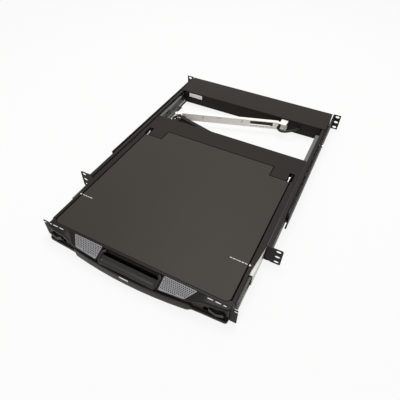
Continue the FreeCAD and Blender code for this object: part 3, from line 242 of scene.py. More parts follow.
printWhite = powderCoat("printWhite", (0.82, 0.82, 0.8), 0.5, 0.2)
labelPaper = powderCoat("labelPaper", (0.92, 0.92, 0.9), 0.5, 0.1)
labelFoil = powderCoat("labelFoil", (0.85, 0.84, 0.82), 0.3, 0.2, 0.5)


slideSet = {"soft": 0.8, "lineSoft": 1.0, "middle": -1.4, "lips": (10.5, 12.5), "grooveMiddle": -1.5,
            "grooveOff": 4.5, "grooveEdge": (0.5, 1.2), "shade": (-7.0, 4.0), "crown": (12.5, 13.5)}


def slideFinish(name, brightBelow, forwardOf, behind):
    # drawn slide steel, left bright below a height, forward of one line, and on the lips behind another; elsewhere a
    # near-black painted shade stands for lips and web in shadow
    m, g = Mat(name), slideSet
    x, y, z = m.xyz()
    lines = m.noise(1.0, 3.0, 0.6, m.stretched((900.0, 5.0, 900.0)))
    grease = m.noise(60.0, 3.0)

    def beyond(wire, at, soft):
        return wire.step((at - soft) * mm, (at + soft) * mm)

    def between(wire, ends):
        return wire.step(ends[0] * mm, ends[1] * mm)

    low = 1.0 - beyond(z, brightBelow, g["soft"])
    ahead = 1.0 - beyond(y, forwardOf, g["lineSoft"])
    lips = between((z - g["middle"] * mm).size(), g["lips"]) * beyond(y, behind, g["lineSoft"])
    bright = (low + ahead + lips).clipped()
    # two rolled grooves are painted dark as shade in their hollows; painted shade darkens the steel towards the bottom,
    # and the top band is painted darker to hold back the lamp's highlight
    fromGroove = ((z - g["grooveMiddle"] * mm).size() - g["grooveOff"] * mm).size()
    groove = 1.0 - between(fromGroove, g["grooveEdge"])
    shade = between(z, g["shade"]) * 0.7 + 0.3
    steel = m.mix(shade, (0.3, 0.295, 0.285), m.mix(grease * 0.4, (0.62, 0.61, 0.585), (0.48, 0.47, 0.45)))
    # painted shade along the two rolled grooves
    steel = m.mix(groove * 0.8, steel, (0.06, 0.058, 0.055))
    # painted shade on the top band, against the lamp's highlight
    steel = m.mix(between(z, g["crown"]), steel, (0.16, 0.157, 0.15))
    # outside the bright places the slide's colour is a near-black painted shade
    m.set(Base_Color=m.mix(bright, (0.02, 0.018, 0.017), steel),
          Metallic=bright * 0.8 + 0.2, Roughness=lines * 0.15 + grease * 0.1 - bright * 0.12 + 0.32)
    return m.set(Normal=m.bump(lines, 0.1, 0.0002))


def meshFinish():
    # pale lacquered grille steel
    m = Mat("silverMesh")
    fine = m.noise(700.0, 2.0)
    cloud = m.noise(30.0, 2.0)
    m.set(Base_Color=m.mix(cloud * 0.6, (0.27, 0.27, 0.28), (0.21, 0.21, 0.22)), Metallic=0.35,
          Roughness=fine * 0.12 + 0.4)
    return m.set(Normal=m.bump(fine, 0.1, 0.0002))


def glassFinish():
    # black front glass of the display with a soft smear of handling
    m = Mat("screenGlass")
    smear = m.noise(18.0, 4.0, 0.65, m.stretched((1.0, 3.0, 1.0)))
    m.set(Base_Color=m.mix(smear * 0.4, (0.006, 0.0065, 0.008), (0.01, 0.011, 0.013)),
          Roughness=smear.step(0.35, 0.75) * 0.12 + 0.06)
    return m


def boardFinish():
    # green board: copper tracks under the lacquer as two crossing sets of lines
    m = Mat("circuitBoard")
    x, y, z = m.xyz()
    wander = m.noise(40.0, 2.0) * 0.004
    lanes = ((x + wander) * 2600.0).sine().step(0.55, 0.7)
    lanes2 = ((y + wander) * 2100.0).sine().step(0.7, 0.85)
    parts = m.node("ShaderNodeTexVoronoi", {"feature": "F1", "distance": "CHEBYCHEV"},
                   {"Vector": m.object, "Scale": 95.0})["Distance"].step(0.2, 0.17)
    track = lanes * (1.0 - lanes2)
    green = m.mix(track * 0.5, (0.012, 0.07, 0.03), (0.05, 0.16, 0.06))
    m.set(Base_Color=m.mix(parts, green, (0.02, 0.02, 0.021)), Roughness=0.35 + parts * 0.2)
    return m.set(Normal=m.bump(track * 0.3 + parts, 0.5, 0.0004))


# heights and lines in millimetres, each past the slide's end where it isn't wanted
slideOuter = slideFinish("slideOuter", -14.0, -500, 284)
slideMiddle = slideFinish("slideMiddle", -12.0, 92, 284)
slideInner = slideFinish("slideInner", -12.6, -500, 600)
silverMesh, screenGlass, circuitBoard = meshFinish(), glassFinish(), boardFinish()
print("finishes made")

dress(both("outer_rail") + " " + both("rear_bracket"), railPaint)
# these parts take the darker painted-shade copy of the sheet paint
dress("tray rear_cover deck " + both("hinge_bracket"), shadedSheetPaint)
dress("rear_box box_cover rear_panel", sheetPaint)
dress("lid_cover", lidPaint)
dress(both("slide_outer"), slideOuter)
dress(both("slide_middle"), slideMiddle)
dress(both("slide_inner"), slideInner)
dress(both("rail_spacers") + " " + both("clamp_screw") + " " + both("hinge_arm"), zincSteel)
dress(both("guide_pads") + " power_inlet wide_socket square_sockets switch_frame power_rocker", darkPlastic)
dress("bezel", bezelPlastic)
dress("handle " + both("latch"), handlePlastic)
dress(both("grille"), silverMesh)
dress("keyboard_base touchpad click_button_left click_button_right screen_frame", padPlastic)
dress("keys_row_1 keys_row_2 keys_row_3 keys_row_4 keys_row_5 keys_row_6", keyPlastic)
dress("screen_glass", screenGlass)
dress("screen_panel", darkPlastic)
dress("circuit_board", circuitBoard)
dress("arm_rear_link arm_base arm_anchor", whitePaint)
dress("arm_front_link", railPaint)
dress("cable_rear cable_front", cableRubber)
dress("arm_pins", pinSteel)


# ---- surfaces ----

def quadGrid(rows, cols, closed=False):
    # the four-sided faces between neighbouring rows and columns of a grid; closed joins the last column to the first
    r, c = np.meshgrid(np.arange(rows - 1), np.arange(cols if closed else cols - 1), indexing="ij")
    r, c = r.ravel(), c.ravel()
    after = (c + 1) % cols
    return np.stack((r * cols + c, (r + 1) * cols + c, (r + 1) * cols + after, r * cols + after), axis=1).tolist()


def endCaps(rows, cols):
    # one face over each end of a tube of rings
    return [list(range(cols)), list(range((rows - 1) * cols, rows * cols))]


def addPiece(name, points, faces, mat, body, slotName, smooth=None):
    # points in millimetres; smooth is the angle above which an edge stays sharp
    mesh = bpy.data.meshes.new(name)
    mesh.from_pydata((np.asarray(points, float) * mm).tolist(), [], faces)
    bm = bmesh.new()
    bm.from_mesh(mesh)
    bmesh.ops.remove_doubles(bm, verts=bm.verts, dist=1e-6)
    bmesh.ops.recalc_face_normals(bm, faces=bm.faces)
    bm.to_mesh(mesh)
    bm.free()
    return place(name, mesh, mat, body, slotName, smooth)


def place(name, mesh, mat, body, slotName, smooth=None):
    # a piece without a body is left without a parent
    if smooth is not None:
        mesh.shade_smooth()
        mesh.set_sharp_from_angle(angle=math.radians(smooth))
    mesh.materials.clear()
    mesh.materials.append(mat.data)
    obj = bpy.data.objects.new(name, mesh)
    bpy.context.collection.objects.link(obj)
    if body:
        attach(obj, body)
    return obj


def finishEdges(obj, width, segments=2, angle=32):
    # edges sharper than the angle are rounded over
    edge = obj.modifiers.new("edge", "BEVEL")
    edge.width, edge.segments, edge.limit_method = width * mm, segments, "ANGLE"
    edge.angle_limit = math.radians(angle)
    edge.harden_normals = True
    edge.miter_outer = "MITER_ARC"
    return obj


def upright(obj):
    # a flat sheet's faces are turned to look up
    bm = bmesh.new()
    bm.from_mesh(obj.data)
    bm.normal_update()
    bmesh.ops.reverse_faces(bm, faces=[f for f in bm.faces if f.normal.z < 0])
    bm.to_mesh(obj.data)
    bm.free()
    return obj


def thicken(obj, depth):
    # a sheet grows outward along its normals
    wall = obj.modifiers.new("wall", "SOLIDIFY")
    wall.thickness, wall.offset = depth * mm, 1.0
    return obj


flatAngle = 0.6


def softened(name, width, mat, body, slotName, segments=2, angle=32):
    # a merged copy of a CAD node whose hard edges are rounded over; faces that lie flat together are joined first
    bm = bmesh.new()
    bm.from_mesh(nodes[name].data)
    bmesh.ops.remove_doubles(bm, verts=bm.verts, dist=1e-6)
    bmesh.ops.dissolve_limit(bm, angle_limit=math.radians(flatAngle), verts=bm.verts, edges=bm.edges)
    mesh = bpy.data.meshes.new(name + "_soft")
    bm.to_mesh(mesh)
    bm.free()
    obj = place(name + "_soft", mesh, mat, body, slotName, angle)
    finishEdges(obj, width, segments, angle)
    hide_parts(name)
    return obj


def boxAt(low, high):
    # the eight corners of a block, for small blades, pins and pads that then get their edges rounded
    x, y, z = (np.array((a, b), float) for a, b in zip(low, high))
    corners = np.stack(np.meshgrid(x, y, z, indexing="ij"), -1).reshape(-1, 3)
    return corners, [[0, 1, 3, 2], [4, 6, 7, 5], [0, 4, 5, 1], [2, 3, 7, 6], [0, 2, 6, 4], [1, 5, 7, 3]]


def blocks(name, pairs, mat, body, slotName, edge=0.3, segments=2):
    # several blocks, each given by its lowest and highest corner, as one piece
    points, faces = [], []
    for low, high in pairs:
        p, f = boxAt(low, high)
        faces += [[i + len(p) * len(points) for i in face] for face in f]
        points.append(p)
    return finishEdges(addPiece(name, np.concatenate(points), faces, mat, body, slotName, 30), edge, segments)


def screwHeads(name, places, radius, mat, body, slotName, sides=16):
    # low domes with a socket in the middle, that look along y: a profile of (radius, height) pairs, closed to a point
    # at both ends, is turned round y and copied to each place
    profile = np.array([(0.0001, 0), (radius, 0), (radius * 0.97, 0.45), (radius * 0.8, 0.95), (radius * 0.5, 1.15),
                        (radius * 0.42, 0.35), (0.0001, 0.3)])
    turn = np.linspace(0, 2 * np.pi, sides, endpoint=False)
    r, h = profile[:, 0, None], profile[:, 1, None]
    around = np.stack((r * np.cos(turn), h + 0 * turn, r * np.sin(turn)), -1).reshape(-1, 3)
    quads = np.array(quadGrid(len(profile), sides, closed=True))
    points = (np.asarray(places, float)[:, None] + around[None]).reshape(-1, 3)
    faces = (quads[None] + len(around) * np.arange(len(places))[:, None, None]).reshape(-1, 4)
    return addPiece(name, points, faces.tolist(), mat, body, slotName, 40)


def tubeAlong(path, radius, sides=12):
    # rings of points square to the way the path runs
    path = np.asarray(path, float)
    way = np.gradient(path, axis=0)
    way /= np.linalg.norm(way, axis=1, keepdims=True)
    side = np.cross(way, (0.05, 0.03, 1.0))
    side /= np.linalg.norm(side, axis=1, keepdims=True)
    top = np.cross(side, way)
    turn = np.linspace(0, 2 * np.pi, sides, endpoint=False)
    ring = np.cos(turn)[:, None] * side[:, None] + np.sin(turn)[:, None] * top[:, None]
    points = (path[:, None] + radius * ring).reshape(-1, 3)
    return points, quadGrid(len(path), sides, closed=True) + endCaps(len(path), sides)


def smoothLine(points, count=40):
    # a uniform cubic B-spline over the points, with the ends held three deep
    p = np.asarray(points, float)
    p = np.concatenate((p[:1], p[:1], p, p[-1:], p[-1:]))
    t = np.linspace(0, len(p) - 3 - 1e-9, count)
    i = t.astype(int)
    u = (t - i)[:, None]
    a, b, c, d = p[i], p[i + 1], p[i + 2], p[np.minimum(i + 3, len(p) - 1)]
    first, second = (1 - u) ** 3, 3 * u ** 3 - 6 * u ** 2 + 4
    third = -3 * u ** 3 + 3 * u ** 2 + 3 * u + 1
    return (first * a + second * b + third * c + u ** 3 * d) / 6


def rounded(corners, radius, steps=5):
    # each corner of the outline becomes a short curve: a quadratic blend of the two points beside it
    p = np.asarray(corners, float)
    before, after = np.roll(p, 1, 0) - p, np.roll(p, -1, 0) - p
    before *= radius / np.linalg.norm(before, axis=1, keepdims=True)
    after *= radius / np.linalg.norm(after, axis=1, keepdims=True)
    t = np.linspace(0, 1, steps)[:, None]
    curve = p[:, None] + (1 - t) ** 2 * before[:, None] + t ** 2 * after[:, None]
    return curve.reshape(-1, 2)


# ---- latches ----

latchEdge = 0.5
for side in ("right", "left"):
    softened("latch_" + side, latchEdge, handlePlastic, "thumb_latch_" + side, "dark_plastic")


# ---- front moulding ----

# A section's places run forward of the ears (minus is forward) and up from the unit's foot; shift moves them to the
# frame's y and z. visor and lip give how far each stands forward, by distance from the middle.
moulding = {"shift": (-148.0, -22.225), "half": 198.0, "foot": 0.4, "back": 8.2, "top": 41.0, "slopeFrom": 5.0,
            "slopeRate": 0.41, "backRise": (31.0, 32.0), "cornerFrom": 180.8, "cornerReach": 10.6, "cornerRadius": 11.8,
            "endNotch": (195.5, 14.0), "endRound": 5.0,
            "visor": ((0, 30, 60, 90, 121, 145, 158, 171.5, 185, 198),
                      (22.6, 22.24, 21.17, 19.4, 16.8, 10.9, 9.4, 8.4, 6.6, 4.6)), "visorEase": 9,
            "lip": ((0, 30, 60, 90, 115, 124, 130, 150, 171, 198),
                    (26.4, 25.9, 24.4, 21.9, 19.0, 17.8, 13.6, 12.2, 11.4, 10.0)), "lipEase": 5,
            "slopeEnds": (119.0, 158.0), "facetAt": -16.8, "noseFoot": 28.0, "visorFoot": 33.2, "noseLeast": 0.6,
            "groove": (5.2, 1.7), "bellyTop": 23.4, "lipTop": 8.4, "lipFrom": (124.0, 133.0), "steps": (0.6, 0.3),
            "handleHalf": 65.8, "handleSeat": 4.5, "handleBack": 3.5, "wellHalf": 60.0, "well": (1.5, -17.5, 14.0),
            "grille": (68.2, 134.8), "grilleSeat": 1.5, "grilleBack": 4.6,
            "grilleFront": ((68.2, 118.8, 134.8), (-20.5, -16.1, 4.3)), "plainBack": 4.0,
            "track": (152.0, 192.0, 12.4, 24.6, 3.0)}


def slopeHeight(y):
    # height of the front slope over a place on the frame's y
    g = moulding
    return g["top"] + g["shift"][1] - g["slopeRate"] * np.clip(g["shift"][0] + g["slopeFrom"] - y, 0, None)


def smoothStep(x, low, high):
    t = np.clip((x - low) / (high - low), 0, 1)
    return t * t * (3 - 2 * t)


def eased(table, x, wide):
    # the table's straight runs, averaged over a few millimetres so that its corners turn softly
    reach = 220.0
    fine = np.arange(-reach, reach + 1)
    values = np.interp(np.abs(fine), *table)
    padded = np.pad(values, wide // 2, mode="edge")
    return np.interp(x, fine, np.convolve(padded, np.ones(wide) / wide, mode="valid"))


def mouldingCorners(g, x, zone):
    # the section at each x as a list of corners, each with its radius; a corner that the zone doesn't use falls on its
    # neighbour, so that every section has the same count
    inHandle, inGrille, inTrack = zone in ("well", "handle"), zone == "grille", zone == "track"
    ones = np.ones_like(x)

    def plane(y):
        return g["top"] - g["slopeRate"] * np.clip(g["slopeFrom"] - y, 0, None)

    # the ends turn back on a quarter circle
    past = np.clip(x - g["half"] + g["endRound"], 0, None)
    endTurn = g["endRound"] - np.sqrt(np.clip(g["endRound"] ** 2 - past ** 2, 0, None))
    front = endTurn - eased(g["visor"], x, g["visorEase"])
    lip = endTurn - eased(g["lip"], x, g["lipEase"])

    # the back follows the lid's rounded corner
    into = np.clip(x - g["cornerFrom"], 0, g["cornerReach"])
    back = g["back"] + g["cornerRadius"] - np.sqrt(g["cornerRadius"] ** 2 - into ** 2)
    back = np.where(x > g["endNotch"][0], g["endNotch"][1], back)

    # from the grilles to the ends the slope climbs until the top is level
    shoulder = smoothStep(x, *g["slopeEnds"])
    low = plane(g["facetAt"] * ones)
    ends = np.where(x < g["slopeEnds"][0], -100.0, low + shoulder * (g["top"] - low))

    # seats for the handle and grilles, and the finger well
    seat = g["handleSeat"] if inHandle else g["grilleSeat"] if inGrille else 0.0
    seatBack = (g["handleBack"] if inHandle else g["grilleBack"] if inGrille else g["plainBack"]) * ones
    seatFront = front if inHandle else np.interp(x, *g["grilleFront"]) if inGrille else seatBack
    seatStep = seat if inHandle else 0.0
    wellBack, wellFront, wellFoot = seatBack, seatBack, plane(seatBack) - seat
    if zone == "well":
        wellBack, wellFront, wellFoot = (v * ones for v in g["well"])

    # the visor's edge, the groove under it, the belly and the lip
    facet = np.clip(g["slopeFrom"] - (g["top"] - ends) / g["slopeRate"], front, seatFront)
    tip = np.maximum(plane(front), ends) - seatStep
    facetTop = np.maximum(plane(facet), ends) - seatStep
    foot = np.minimum(g["noseFoot"] + shoulder * (g["visorFoot"] - g["noseFoot"]), tip - g["noseLeast"])
    wall = front + g["groove"][0] + shoulder * (g["groove"][1] - g["groove"][0])
    ledge = g["bellyTop"] + smoothStep(x, *g["lipFrom"]) * (g["lipTop"] - g["bellyTop"])
    high, lower = (ledge + (foot - ledge) * share for share in g["steps"])
    deep = wall
    if inTrack:
        lower, high, deep = (v * ones for v in g["track"][2:])

    base, middle, under = (v * ones for v in (g["foot"], *g["backRise"]))
    level, brow = g["top"] * ones, g["slopeFrom"] * ones
    straight = g["back"] * ones
    corners = [(straight, base, 0.3), (straight, middle, 0.3), (back, under, 0.3), (back, level, 0.4),
               (brow, level, 0.9), (seatBack, plane(seatBack), 0.25), (seatBack, plane(seatBack) - seat, 0.2),
               (wellBack, plane(wellBack) - seat, 0.3), (wellBack, wellFoot, 1.5), (wellFront, wellFoot, 1.5),
               (wellFront, plane(wellFront) - seat, 0.3), (seatFront, plane(seatFront) - seat, 0.2),
               (seatFront, plane(seatFront) - seatStep, 0.25), (facet, facetTop, 2.5), (front, tip, 2.8),
               (front, foot, 1.4), (wall, foot, 1.2), (wall, high, 0.4), (deep, high, 0.3), (deep, lower, 0.3),
               (wall, lower, 0.4), (wall, ledge, 1.0), (lip, ledge, 2.2), (lip, base, 1.6)]
    radii = np.array([radius for _, _, radius in corners])
    return np.stack([np.stack((y, z), -1) for y, z, _ in corners], 1), radii


def roundedSections(corners, radii, steps=5):
    # each corner of each section is a quadratic blend of the two points beside it, as far off as its edges allow:
    # corner + (1 - t)^2 before + t^2 after
    before, after = np.roll(corners, 1, 1) - corners, np.roll(corners, -1, 1) - corners
    t = np.linspace(0, 1, steps)[:, None]
    arms = []
    for arm in (before, after):
        length = np.linalg.norm(arm, axis=-1, keepdims=True)
        arms.append(arm * np.minimum(radii[None, :, None], 0.45 * length) / np.maximum(length, 1e-9))
    curve = corners[:, :, None] + (1 - t) ** 2 * arms[0][:, :, None] + t ** 2 * arms[1][:, :, None]
    return curve.reshape(len(corners), -1, 2)


def frontMoulding(g):
    # sections from the middle to the end, in zones that share their first and last stations, then mirrored
    (grilleIn, grilleOut), (trackIn, trackOut) = g["grille"], g["track"][:2]
    zones = [("well", 0, g["wellHalf"], 14), ("handle", g["wellHalf"], g["handleHalf"], 3),
             ("plain", g["handleHalf"], grilleIn, 3), ("grille", grilleIn, grilleOut, 34),
             ("plain", grilleOut, trackIn, 10), ("track", trackIn, trackOut, 16), ("end", trackOut, g["half"], 9)]
    parts = []
    for zone, low, high, count in zones:
        x = np.linspace(low, high, count)
        if zone == "end":
            # stations crowd towards the rounded end
            x = low + (high - low) * np.sin(np.linspace(0, np.pi / 2, count))
        section = roundedSections(*mouldingCorners(g, x, zone))
        parts.append(np.concatenate((np.broadcast_to(x[:, None, None], (*section.shape[:2], 1)), section), -1))
    right = np.concatenate(parts)
    left = right[:0:-1] * (-1, 1, 1)
    grid = np.concatenate((left, right)) + (0, *g["shift"])
    rows, cols = grid.shape[:2]
    return grid.reshape(-1, 3), quadGrid(rows, cols, closed=True) + endCaps(rows, cols)


frontPiece = addPiece("front_moulding", *frontMoulding(moulding), bezelPlastic, "drawer", "dark_plastic", 38)
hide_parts("bezel")
print("front moulding made")


# ---- handle and latches ----

grip = {"half": 62.7, "back": -147.3, "front": -168.6, "corner": 5.5, "wide": 2.75, "rise": 1.7, "deep": 4.0,
        "squareness": 0.72, "around": 18, "tipRun": 5, "tipDrop": 2.6, "gap": -154.6, "dish": 2.7, "brim": 0.6,
        "climb": (9.0, 8.0), "grid": (15, 61)}


def gripRim(g):
    # a fat rounded section (a squared ellipse) carried down one end, along the front and up the other end of the
    # handle; its two tips turn in and drop a little, under the visor
    r = g["corner"]
    turn = np.linspace(0, np.pi / 2, 9)
    arc = r * np.stack((np.sin(turn), np.cos(turn)), -1)
    backCorner = arc + (g["half"] - r, g["back"] - r)
    frontCorner = arc[::-1] * (1, -1) + (g["half"] - r, g["front"] + r)
    right = np.concatenate((backCorner, frontCorner))
    path = np.concatenate((right, right[::-1] * (-1, 1)))[::-1]
    way = np.gradient(path, axis=0)
    way /= np.linalg.norm(way, axis=1, keepdims=True)
    out = np.stack((way[:, 1], -way[:, 0]), -1)

    around = np.linspace(0, 2 * np.pi, g["around"], endpoint=False)
    across, along = (np.sign(v) * np.abs(v) ** g["squareness"] for v in (np.cos(around), np.sin(around)))
    top = g["rise"] - g["tipDrop"] * smoothStep(path[:, 1], g["back"] - g["tipRun"], g["back"])
    middle, high = (top - g["deep"]) / 2, (top + g["deep"]) / 2
    flat = path[:, None] + g["wide"] * across[None, :, None] * out[:, None]
    z = slopeHeight(flat[..., 1]) + middle[:, None] + high[:, None] * along[None]
    points = np.concatenate((flat, z[..., None]), -1).reshape(-1, 3)
    return points, quadGrid(len(path), g["around"], closed=True) + endCaps(len(path), g["around"])


def gripDish(g):
    # a plate whose height below the slope is deepest along the finger gap and climbs to the rim at the front and
    # ends: sin(pi/2 * distance from the front) * sin(pi/2 * distance from the end)
    rows, cols = g["grid"]
    y, x = np.meshgrid(np.linspace(g["gap"], g["front"], rows), np.linspace(-g["half"], g["half"], cols), indexing="ij")
    front = np.clip((y - g["front"]) / g["climb"][0], 0, 1)
    ends = np.clip((g["half"] - np.abs(x)) / g["climb"][1], 0, 1)
    bowl = np.sin(front * np.pi / 2) * np.sin(ends * np.pi / 2)
    upper = slopeHeight(y) + g["brim"] - (g["dish"] + g["brim"]) * bowl
    top, bottom = (np.stack((x, y, z), -1).reshape(-1, 3) for z in (upper, slopeHeight(y) - g["deep"]))
    quads = np.array(quadGrid(rows, cols))
    index = np.arange(rows * cols).reshape(rows, cols)
    edge = np.concatenate((index[0], index[1:, -1], index[-1, -2::-1], index[-2:0:-1, 0]))
    after = np.roll(edge, -1)
    skirt = np.stack((edge, after, after + index.size, edge + index.size), -1)
    return np.concatenate((top, bottom)), np.concatenate((quads, quads[:, ::-1] + index.size, skirt)).tolist()


rimPoints, rimFaces = gripRim(grip)
dishPoints, dishFaces = gripDish(grip)
handle = addPiece("carry_handle", np.concatenate((rimPoints, dishPoints)),
                  rimFaces + [[i + len(rimPoints) for i in f] for f in dishFaces], handlePlastic, "drawer",
                  "dark_plastic", 50)
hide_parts("handle")

# across the latch: inner end, middle and outer end; heights at the ends and in the middle
chevron = {"x": (162, 176, 190), "top": (6.6, -1.4), "foot": (-3.0, -10.3), "back": -155.7, "eaves": -156.9,
           "front": -158.4, "overTrack": 2, "edge": 0.9}
for side, name in ((1, "right"), (-1, "left")):
    a, b, c = (side * x for x in chevron["x"])
    (hi, hiMid), (lo, loMid) = chevron["top"], chevron["foot"]
    ring = np.array([(a, hi), (b, hiMid), (c, hi), (c, lo), (b, loMid), (a, lo)])
    # the corners that stand over the track's edge keep clear of the moulding when the latch slides in
    backs = np.where(ring[:, 1] > chevron["overTrack"], chevron["eaves"], chevron["back"])
    points = np.concatenate([np.column_stack((ring[:, 0], y, ring[:, 1])) for y in
                             (backs, np.full(6, chevron["front"]))])
    faces = [[i, (i + 1) % 6, (i + 1) % 6 + 6, i + 6] for i in range(6)]
    faces += [[0, 1, 4, 5], [1, 2, 3, 4], [6, 7, 10, 11], [7, 8, 9, 10]]
    finishEdges(addPiece("latch_chevron_" + name, points, faces, handlePlastic, "thumb_latch_" + name,
                         "dark_plastic", 30), chevron["edge"])
print("handle and latches made")


# ---- grilles ----

grilles = {"inner": 68.5, "outer": 134.5, "outerFront": 118.5, "back": -143.7, "front": -168.2, "askew": 4.4,
           "corner": 2.2, "across": 4.05, "along": 2.75, "hole": 1.02, "holeSides": 12, "margin": 1.7, "overlap": 0.3,
           "thick": 1.0, "edge": 0.12}


def perforated(g):
    # staggered round holes wherever a hole keeps its margin from every side of the outline
    corners = np.array([(g["inner"], g["front"]), (g["outerFront"], g["front"] + g["askew"]),
                        (g["outer"], g["back"]), (g["inner"], g["back"])])
    rows = np.arange(g["back"] - g["margin"] - g["hole"], g["front"], -g["along"])
    cols = np.arange(g["inner"] + g["margin"] + g["hole"], g["outer"], g["across"])
    y, x = np.meshgrid(rows, cols, indexing="ij")
    x = x + (np.arange(len(rows)) % 2)[:, None] * g["across"] / 2
    centres = np.stack((x.ravel(), y.ravel()), -1)
    sides = np.roll(corners, -1, 0) - corners
    sides /= np.linalg.norm(sides, axis=1, keepdims=True)
    inward = np.stack((-sides[:, 1], sides[:, 0]), -1)
    reach = ((centres[:, None] - corners[None]) * inward[None]).sum(-1).min(1)
    centres = centres[reach > g["margin"] + g["hole"] - g["overlap"]]
    turn = np.linspace(0, 2 * np.pi, g["holeSides"], endpoint=False)
    ring = g["hole"] * np.stack((np.cos(turn), np.sin(turn)), -1)
    return rounded(corners, g["corner"]), centres[:, None] + ring[None]


outline, holes = perforated(grilles)
flat = np.concatenate((outline, holes.reshape(-1, 2)))
triangles = tessellate_polygon([[Vector((x, y, 0)) for x, y in loop] for loop in (outline, *holes)])
for side, name in ((1, "right"), (-1, "left")):
    points = np.stack((side * flat[:, 0], flat[:, 1], slopeHeight(flat[:, 1]) - grilles["thick"]), -1)
    grille = addPiece("perforated_grille_" + name, points, [list(t) for t in triangles], silverMesh, "drawer",
                      "silver_mesh")
    upright(grille)
    thicken(grille, grilles["thick"])
    finishEdges(grille, grilles["edge"], 1, 60)
    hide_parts("grille_" + name)
print("grilles perforated:", len(holes), "holes each")


# ---- plain printed marks ----

marks = {"bezel": [(155, 165), (170, 180), (185, 190), (-195, -191), (-187, -175), (-171, -161)], "bezelY": -147.2,
         "lid": [(155, 159.5), (160.7, 166.5), (167.7, 170.5), (171.7, 177), (178.2, 184), (185.2, 190),
                 (-190, -184.5), (-183.3, -177.5), (-176.3, -173.5), (-172.3, -165.5)], "lidY": -53.5,
         "tall": 1.3, "film": 0.08, "height": 18.79, "arrow": (197.6, 193.8, 2.6)}
plates = {"front": ((-12, -174.75, -5.2), (8, -174.1, -1.0)), "box": ((-190, 429.85, 6.2), (-148, 430, 18.0)),
          "edges": (0.25, 0.15)}


def film(name, shapes, body):
    # flat outlines a hair above the surface
    points = np.concatenate([np.column_stack((np.asarray(s, float), np.full(len(s), marks["height"])))
                             for s in shapes])
    starts = np.cumsum([0] + [len(s) for s in shapes[:-1]])
    faces = [list(range(at, at + len(s))) for at, s in zip(starts, shapes)]
    return thicken(upright(addPiece(name, points, faces, printWhite, body, "white_paint")), marks["film"])


def dash(ends, y):
    (a, b), h = ends, marks["tall"] / 2
    return [(a, y - h), (b, y - h), (b, y + h), (a, y + h)]


film("bezel_dashes", [dash(e, marks["bezelY"]) for e in marks["bezel"]], "drawer")
film("lid_dashes", [dash(e, marks["lidY"]) for e in marks["lid"]], "lid")
tip, tail, half = marks["arrow"]
film("deck_arrows", [[(s * tip, marks["lidY"]), (s * tail, marks["lidY"] + s * half),
                      (s * tail, marks["lidY"] - s * half)] for s in (1, -1)], "drawer")
blocks("front_plate", [plates["front"]], labelFoil, "drawer", "zinc_steel", plates["edges"][0])
blocks("box_plate", [plates["box"]], labelPaper, "chassis", "white_paint", plates["edges"][1])
print("marks and plates laid")


# ---- keyboard, touchpad and display ----

softEdge = {"key": 0.7, "pad": 0.4, "click": 0.5}
for row in range(1, 7):
    softened(f"keys_row_{row}", softEdge["key"], keyPlastic, f"row_{row}", "key_plastic")
softened("touchpad", softEdge["pad"], padPlastic, "drawer", "dark_plastic")
for side in ("left", "right"):
    softened("click_button_" + side, softEdge["click"], padPlastic, "click_" + side, "dark_plastic")

displayButtons = {"xs": (46, 58, 70, 82, 94, 106), "y": 186.0, "half": (3.6, 2.2), "heights": (3.1, 3.75)}
(wide, long), (low, high), y = (displayButtons[k] for k in ("half", "heights", "y"))
blocks("display_buttons", [((x - wide, y - long, low), (x + wide, y + long, high)) for x in displayButtons["xs"]],
       keyPlastic, "lid", "key_plastic")
print("keys and buttons softened")


# ---- slides and fasteners ----

bumper = {"x": (202.4, 205.2), "y": (-66, -50), "z": (-8.5, 6.0), "edge": 0.8}
for side, name in ((1, "right"), (-1, "left")):
    xs = sorted(side * x for x in bumper["x"])
    blocks("bumper_" + name, [tuple(zip(xs, bumper["y"], bumper["z"]))], darkPlastic, "middle_" + name,
           "dark_plastic", bumper["edge"], 3)

screws = {"xs": (-198, 198), "y": 514.0, "zs": (-8, 15), "radius": 2.6}
screwHeads("panel_screws", [(x, screws["y"], z) for x in screws["xs"] for z in screws["zs"]], screws["radius"],
           zincSteel, "chassis", "zinc_steel")
print("slide tabs and screws made")


# ---- cable arm ----

# a loop's points, and where its two ends are held: the first end on the first body, the last on the second
loops = {"cable_elbow": {"path": [(-150, 326, 4), (-161, 330, 3), (-173, 329, 1), (-181, 319, 0), (-178, 307, 1),
                                  (-167, 303, 3), (-152, 309, 4)],
                         "bodies": ("rear_link", "front_link"), "held": ((-165, 329, 4), (-165, 303, 4))},
         "cable_root": {"path": [(84, 416.5, 5), (92, 417, 2), (101, 403.5, -3), (116, 399.5, 0), (130, 404, 4),
                                 (142, 416, 4), (150, 429.5, 3)],
                        "bodies": ("chassis", "rear_link"), "held": ((128, 420, -4), (94, 418, 2))}}
loopSet = {"radius": 3.4, "stations": 48, "sides": 14}
for name, loop in loops.items():
    tube = tubeAlong(smoothLine(loop["path"], loopSet["stations"]), loopSet["radius"], loopSet["sides"])
    piece = addPiece(name, *tube, cableRubber, None, "cable_rubber", 40)
    start, end = ([v * mm for v in point] for point in loop["held"])
    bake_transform(piece)
print("cable loops made")


# ---- rear connectors ----

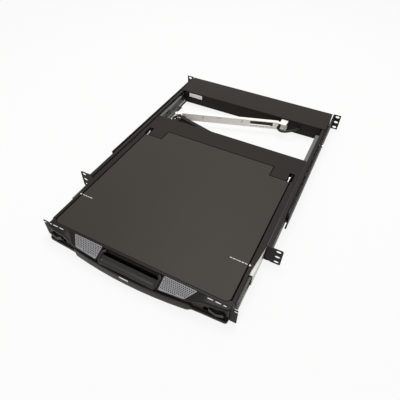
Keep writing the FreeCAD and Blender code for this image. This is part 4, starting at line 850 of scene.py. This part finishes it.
inletBlades = [((-161.5, 500, 0.6), (-159.5, 511, 5.4)), ((-148.5, 500, 0.6), (-146.5, 511, 5.4)),
               ((-155, 500, -3.4), (-153, 511, 1.4))]
blocks("inlet_blades", inletBlades, pinSteel, "chassis", "zinc_steel")
print("inlet blades made")


# ---- floor and light ----

floorSet = {"half": 3.0, "z": -22.35, "glow": 0.87, "colour": (0.8, 0.8, 0.8)}
w, z = floorSet["half"], floorSet["z"] * mm
floor = bpy.data.meshes.new("floor")
floor.from_pydata([(-w, -w, z), (w, -w, z), (w, w, z), (-w, w, z)], [], [(0, 1, 2, 3)])
floorObject = bpy.data.objects.new("floor", floor)
bpy.context.collection.objects.link(floorObject)

# camera, mirror and glass rays see a floor that is nearly white, and lamps still cast the object's shadow on it
paper = Mat("paleFloor")
paper.set(Base_Color=floorSet["colour"], Roughness=0.9)
seen = paper.node("ShaderNodeLightPath")
looking = (seen["Is Camera Ray"] + seen["Is Glossy Ray"] + seen["Is Transmission Ray"]).clipped()
glow = paper.node("ShaderNodeEmission", {}, {"Color": (1.0, 1.0, 1.0), "Strength": 1.0})["Emission"]
plain = Wire(paper, paper.shader.outputs[0])
surface = paper.node("ShaderNodeMixShader", {}, {0: looking * floorSet["glow"], 1: plain, 2: glow})["Shader"]
paper.plug(paper.tree.nodes["Material Output"].inputs[0], surface)
floor.materials.append(paper.data)

# the same rays see a white world, and everything else is lit by a softer one
studio = {"soft": 0.4, "white": 1.0}
world = bpy.data.worlds.new("studio")
scene.world = world
world.use_nodes = True
tree = world.node_tree
back = tree.nodes["Background"]
back.inputs[0].default_value = (1, 1, 1, 1)
rays = tree.nodes.new("ShaderNodeLightPath")
level = tree.nodes.new("ShaderNodeMapRange")
direct = rays.outputs["Is Camera Ray"]
for kind in ("Is Glossy Ray", "Is Transmission Ray"):
    either = tree.nodes.new("ShaderNodeMath")
    either.operation = "MAXIMUM"
    tree.links.new(direct, either.inputs[0])
    tree.links.new(rays.outputs[kind], either.inputs[1])
    direct = either.outputs[0]
tree.links.new(direct, level.inputs["Value"])
level.inputs["To Min"].default_value, level.inputs["To Max"].default_value = studio["soft"], studio["white"]
tree.links.new(level.outputs[0], back.inputs[1])
print("floor and world set")
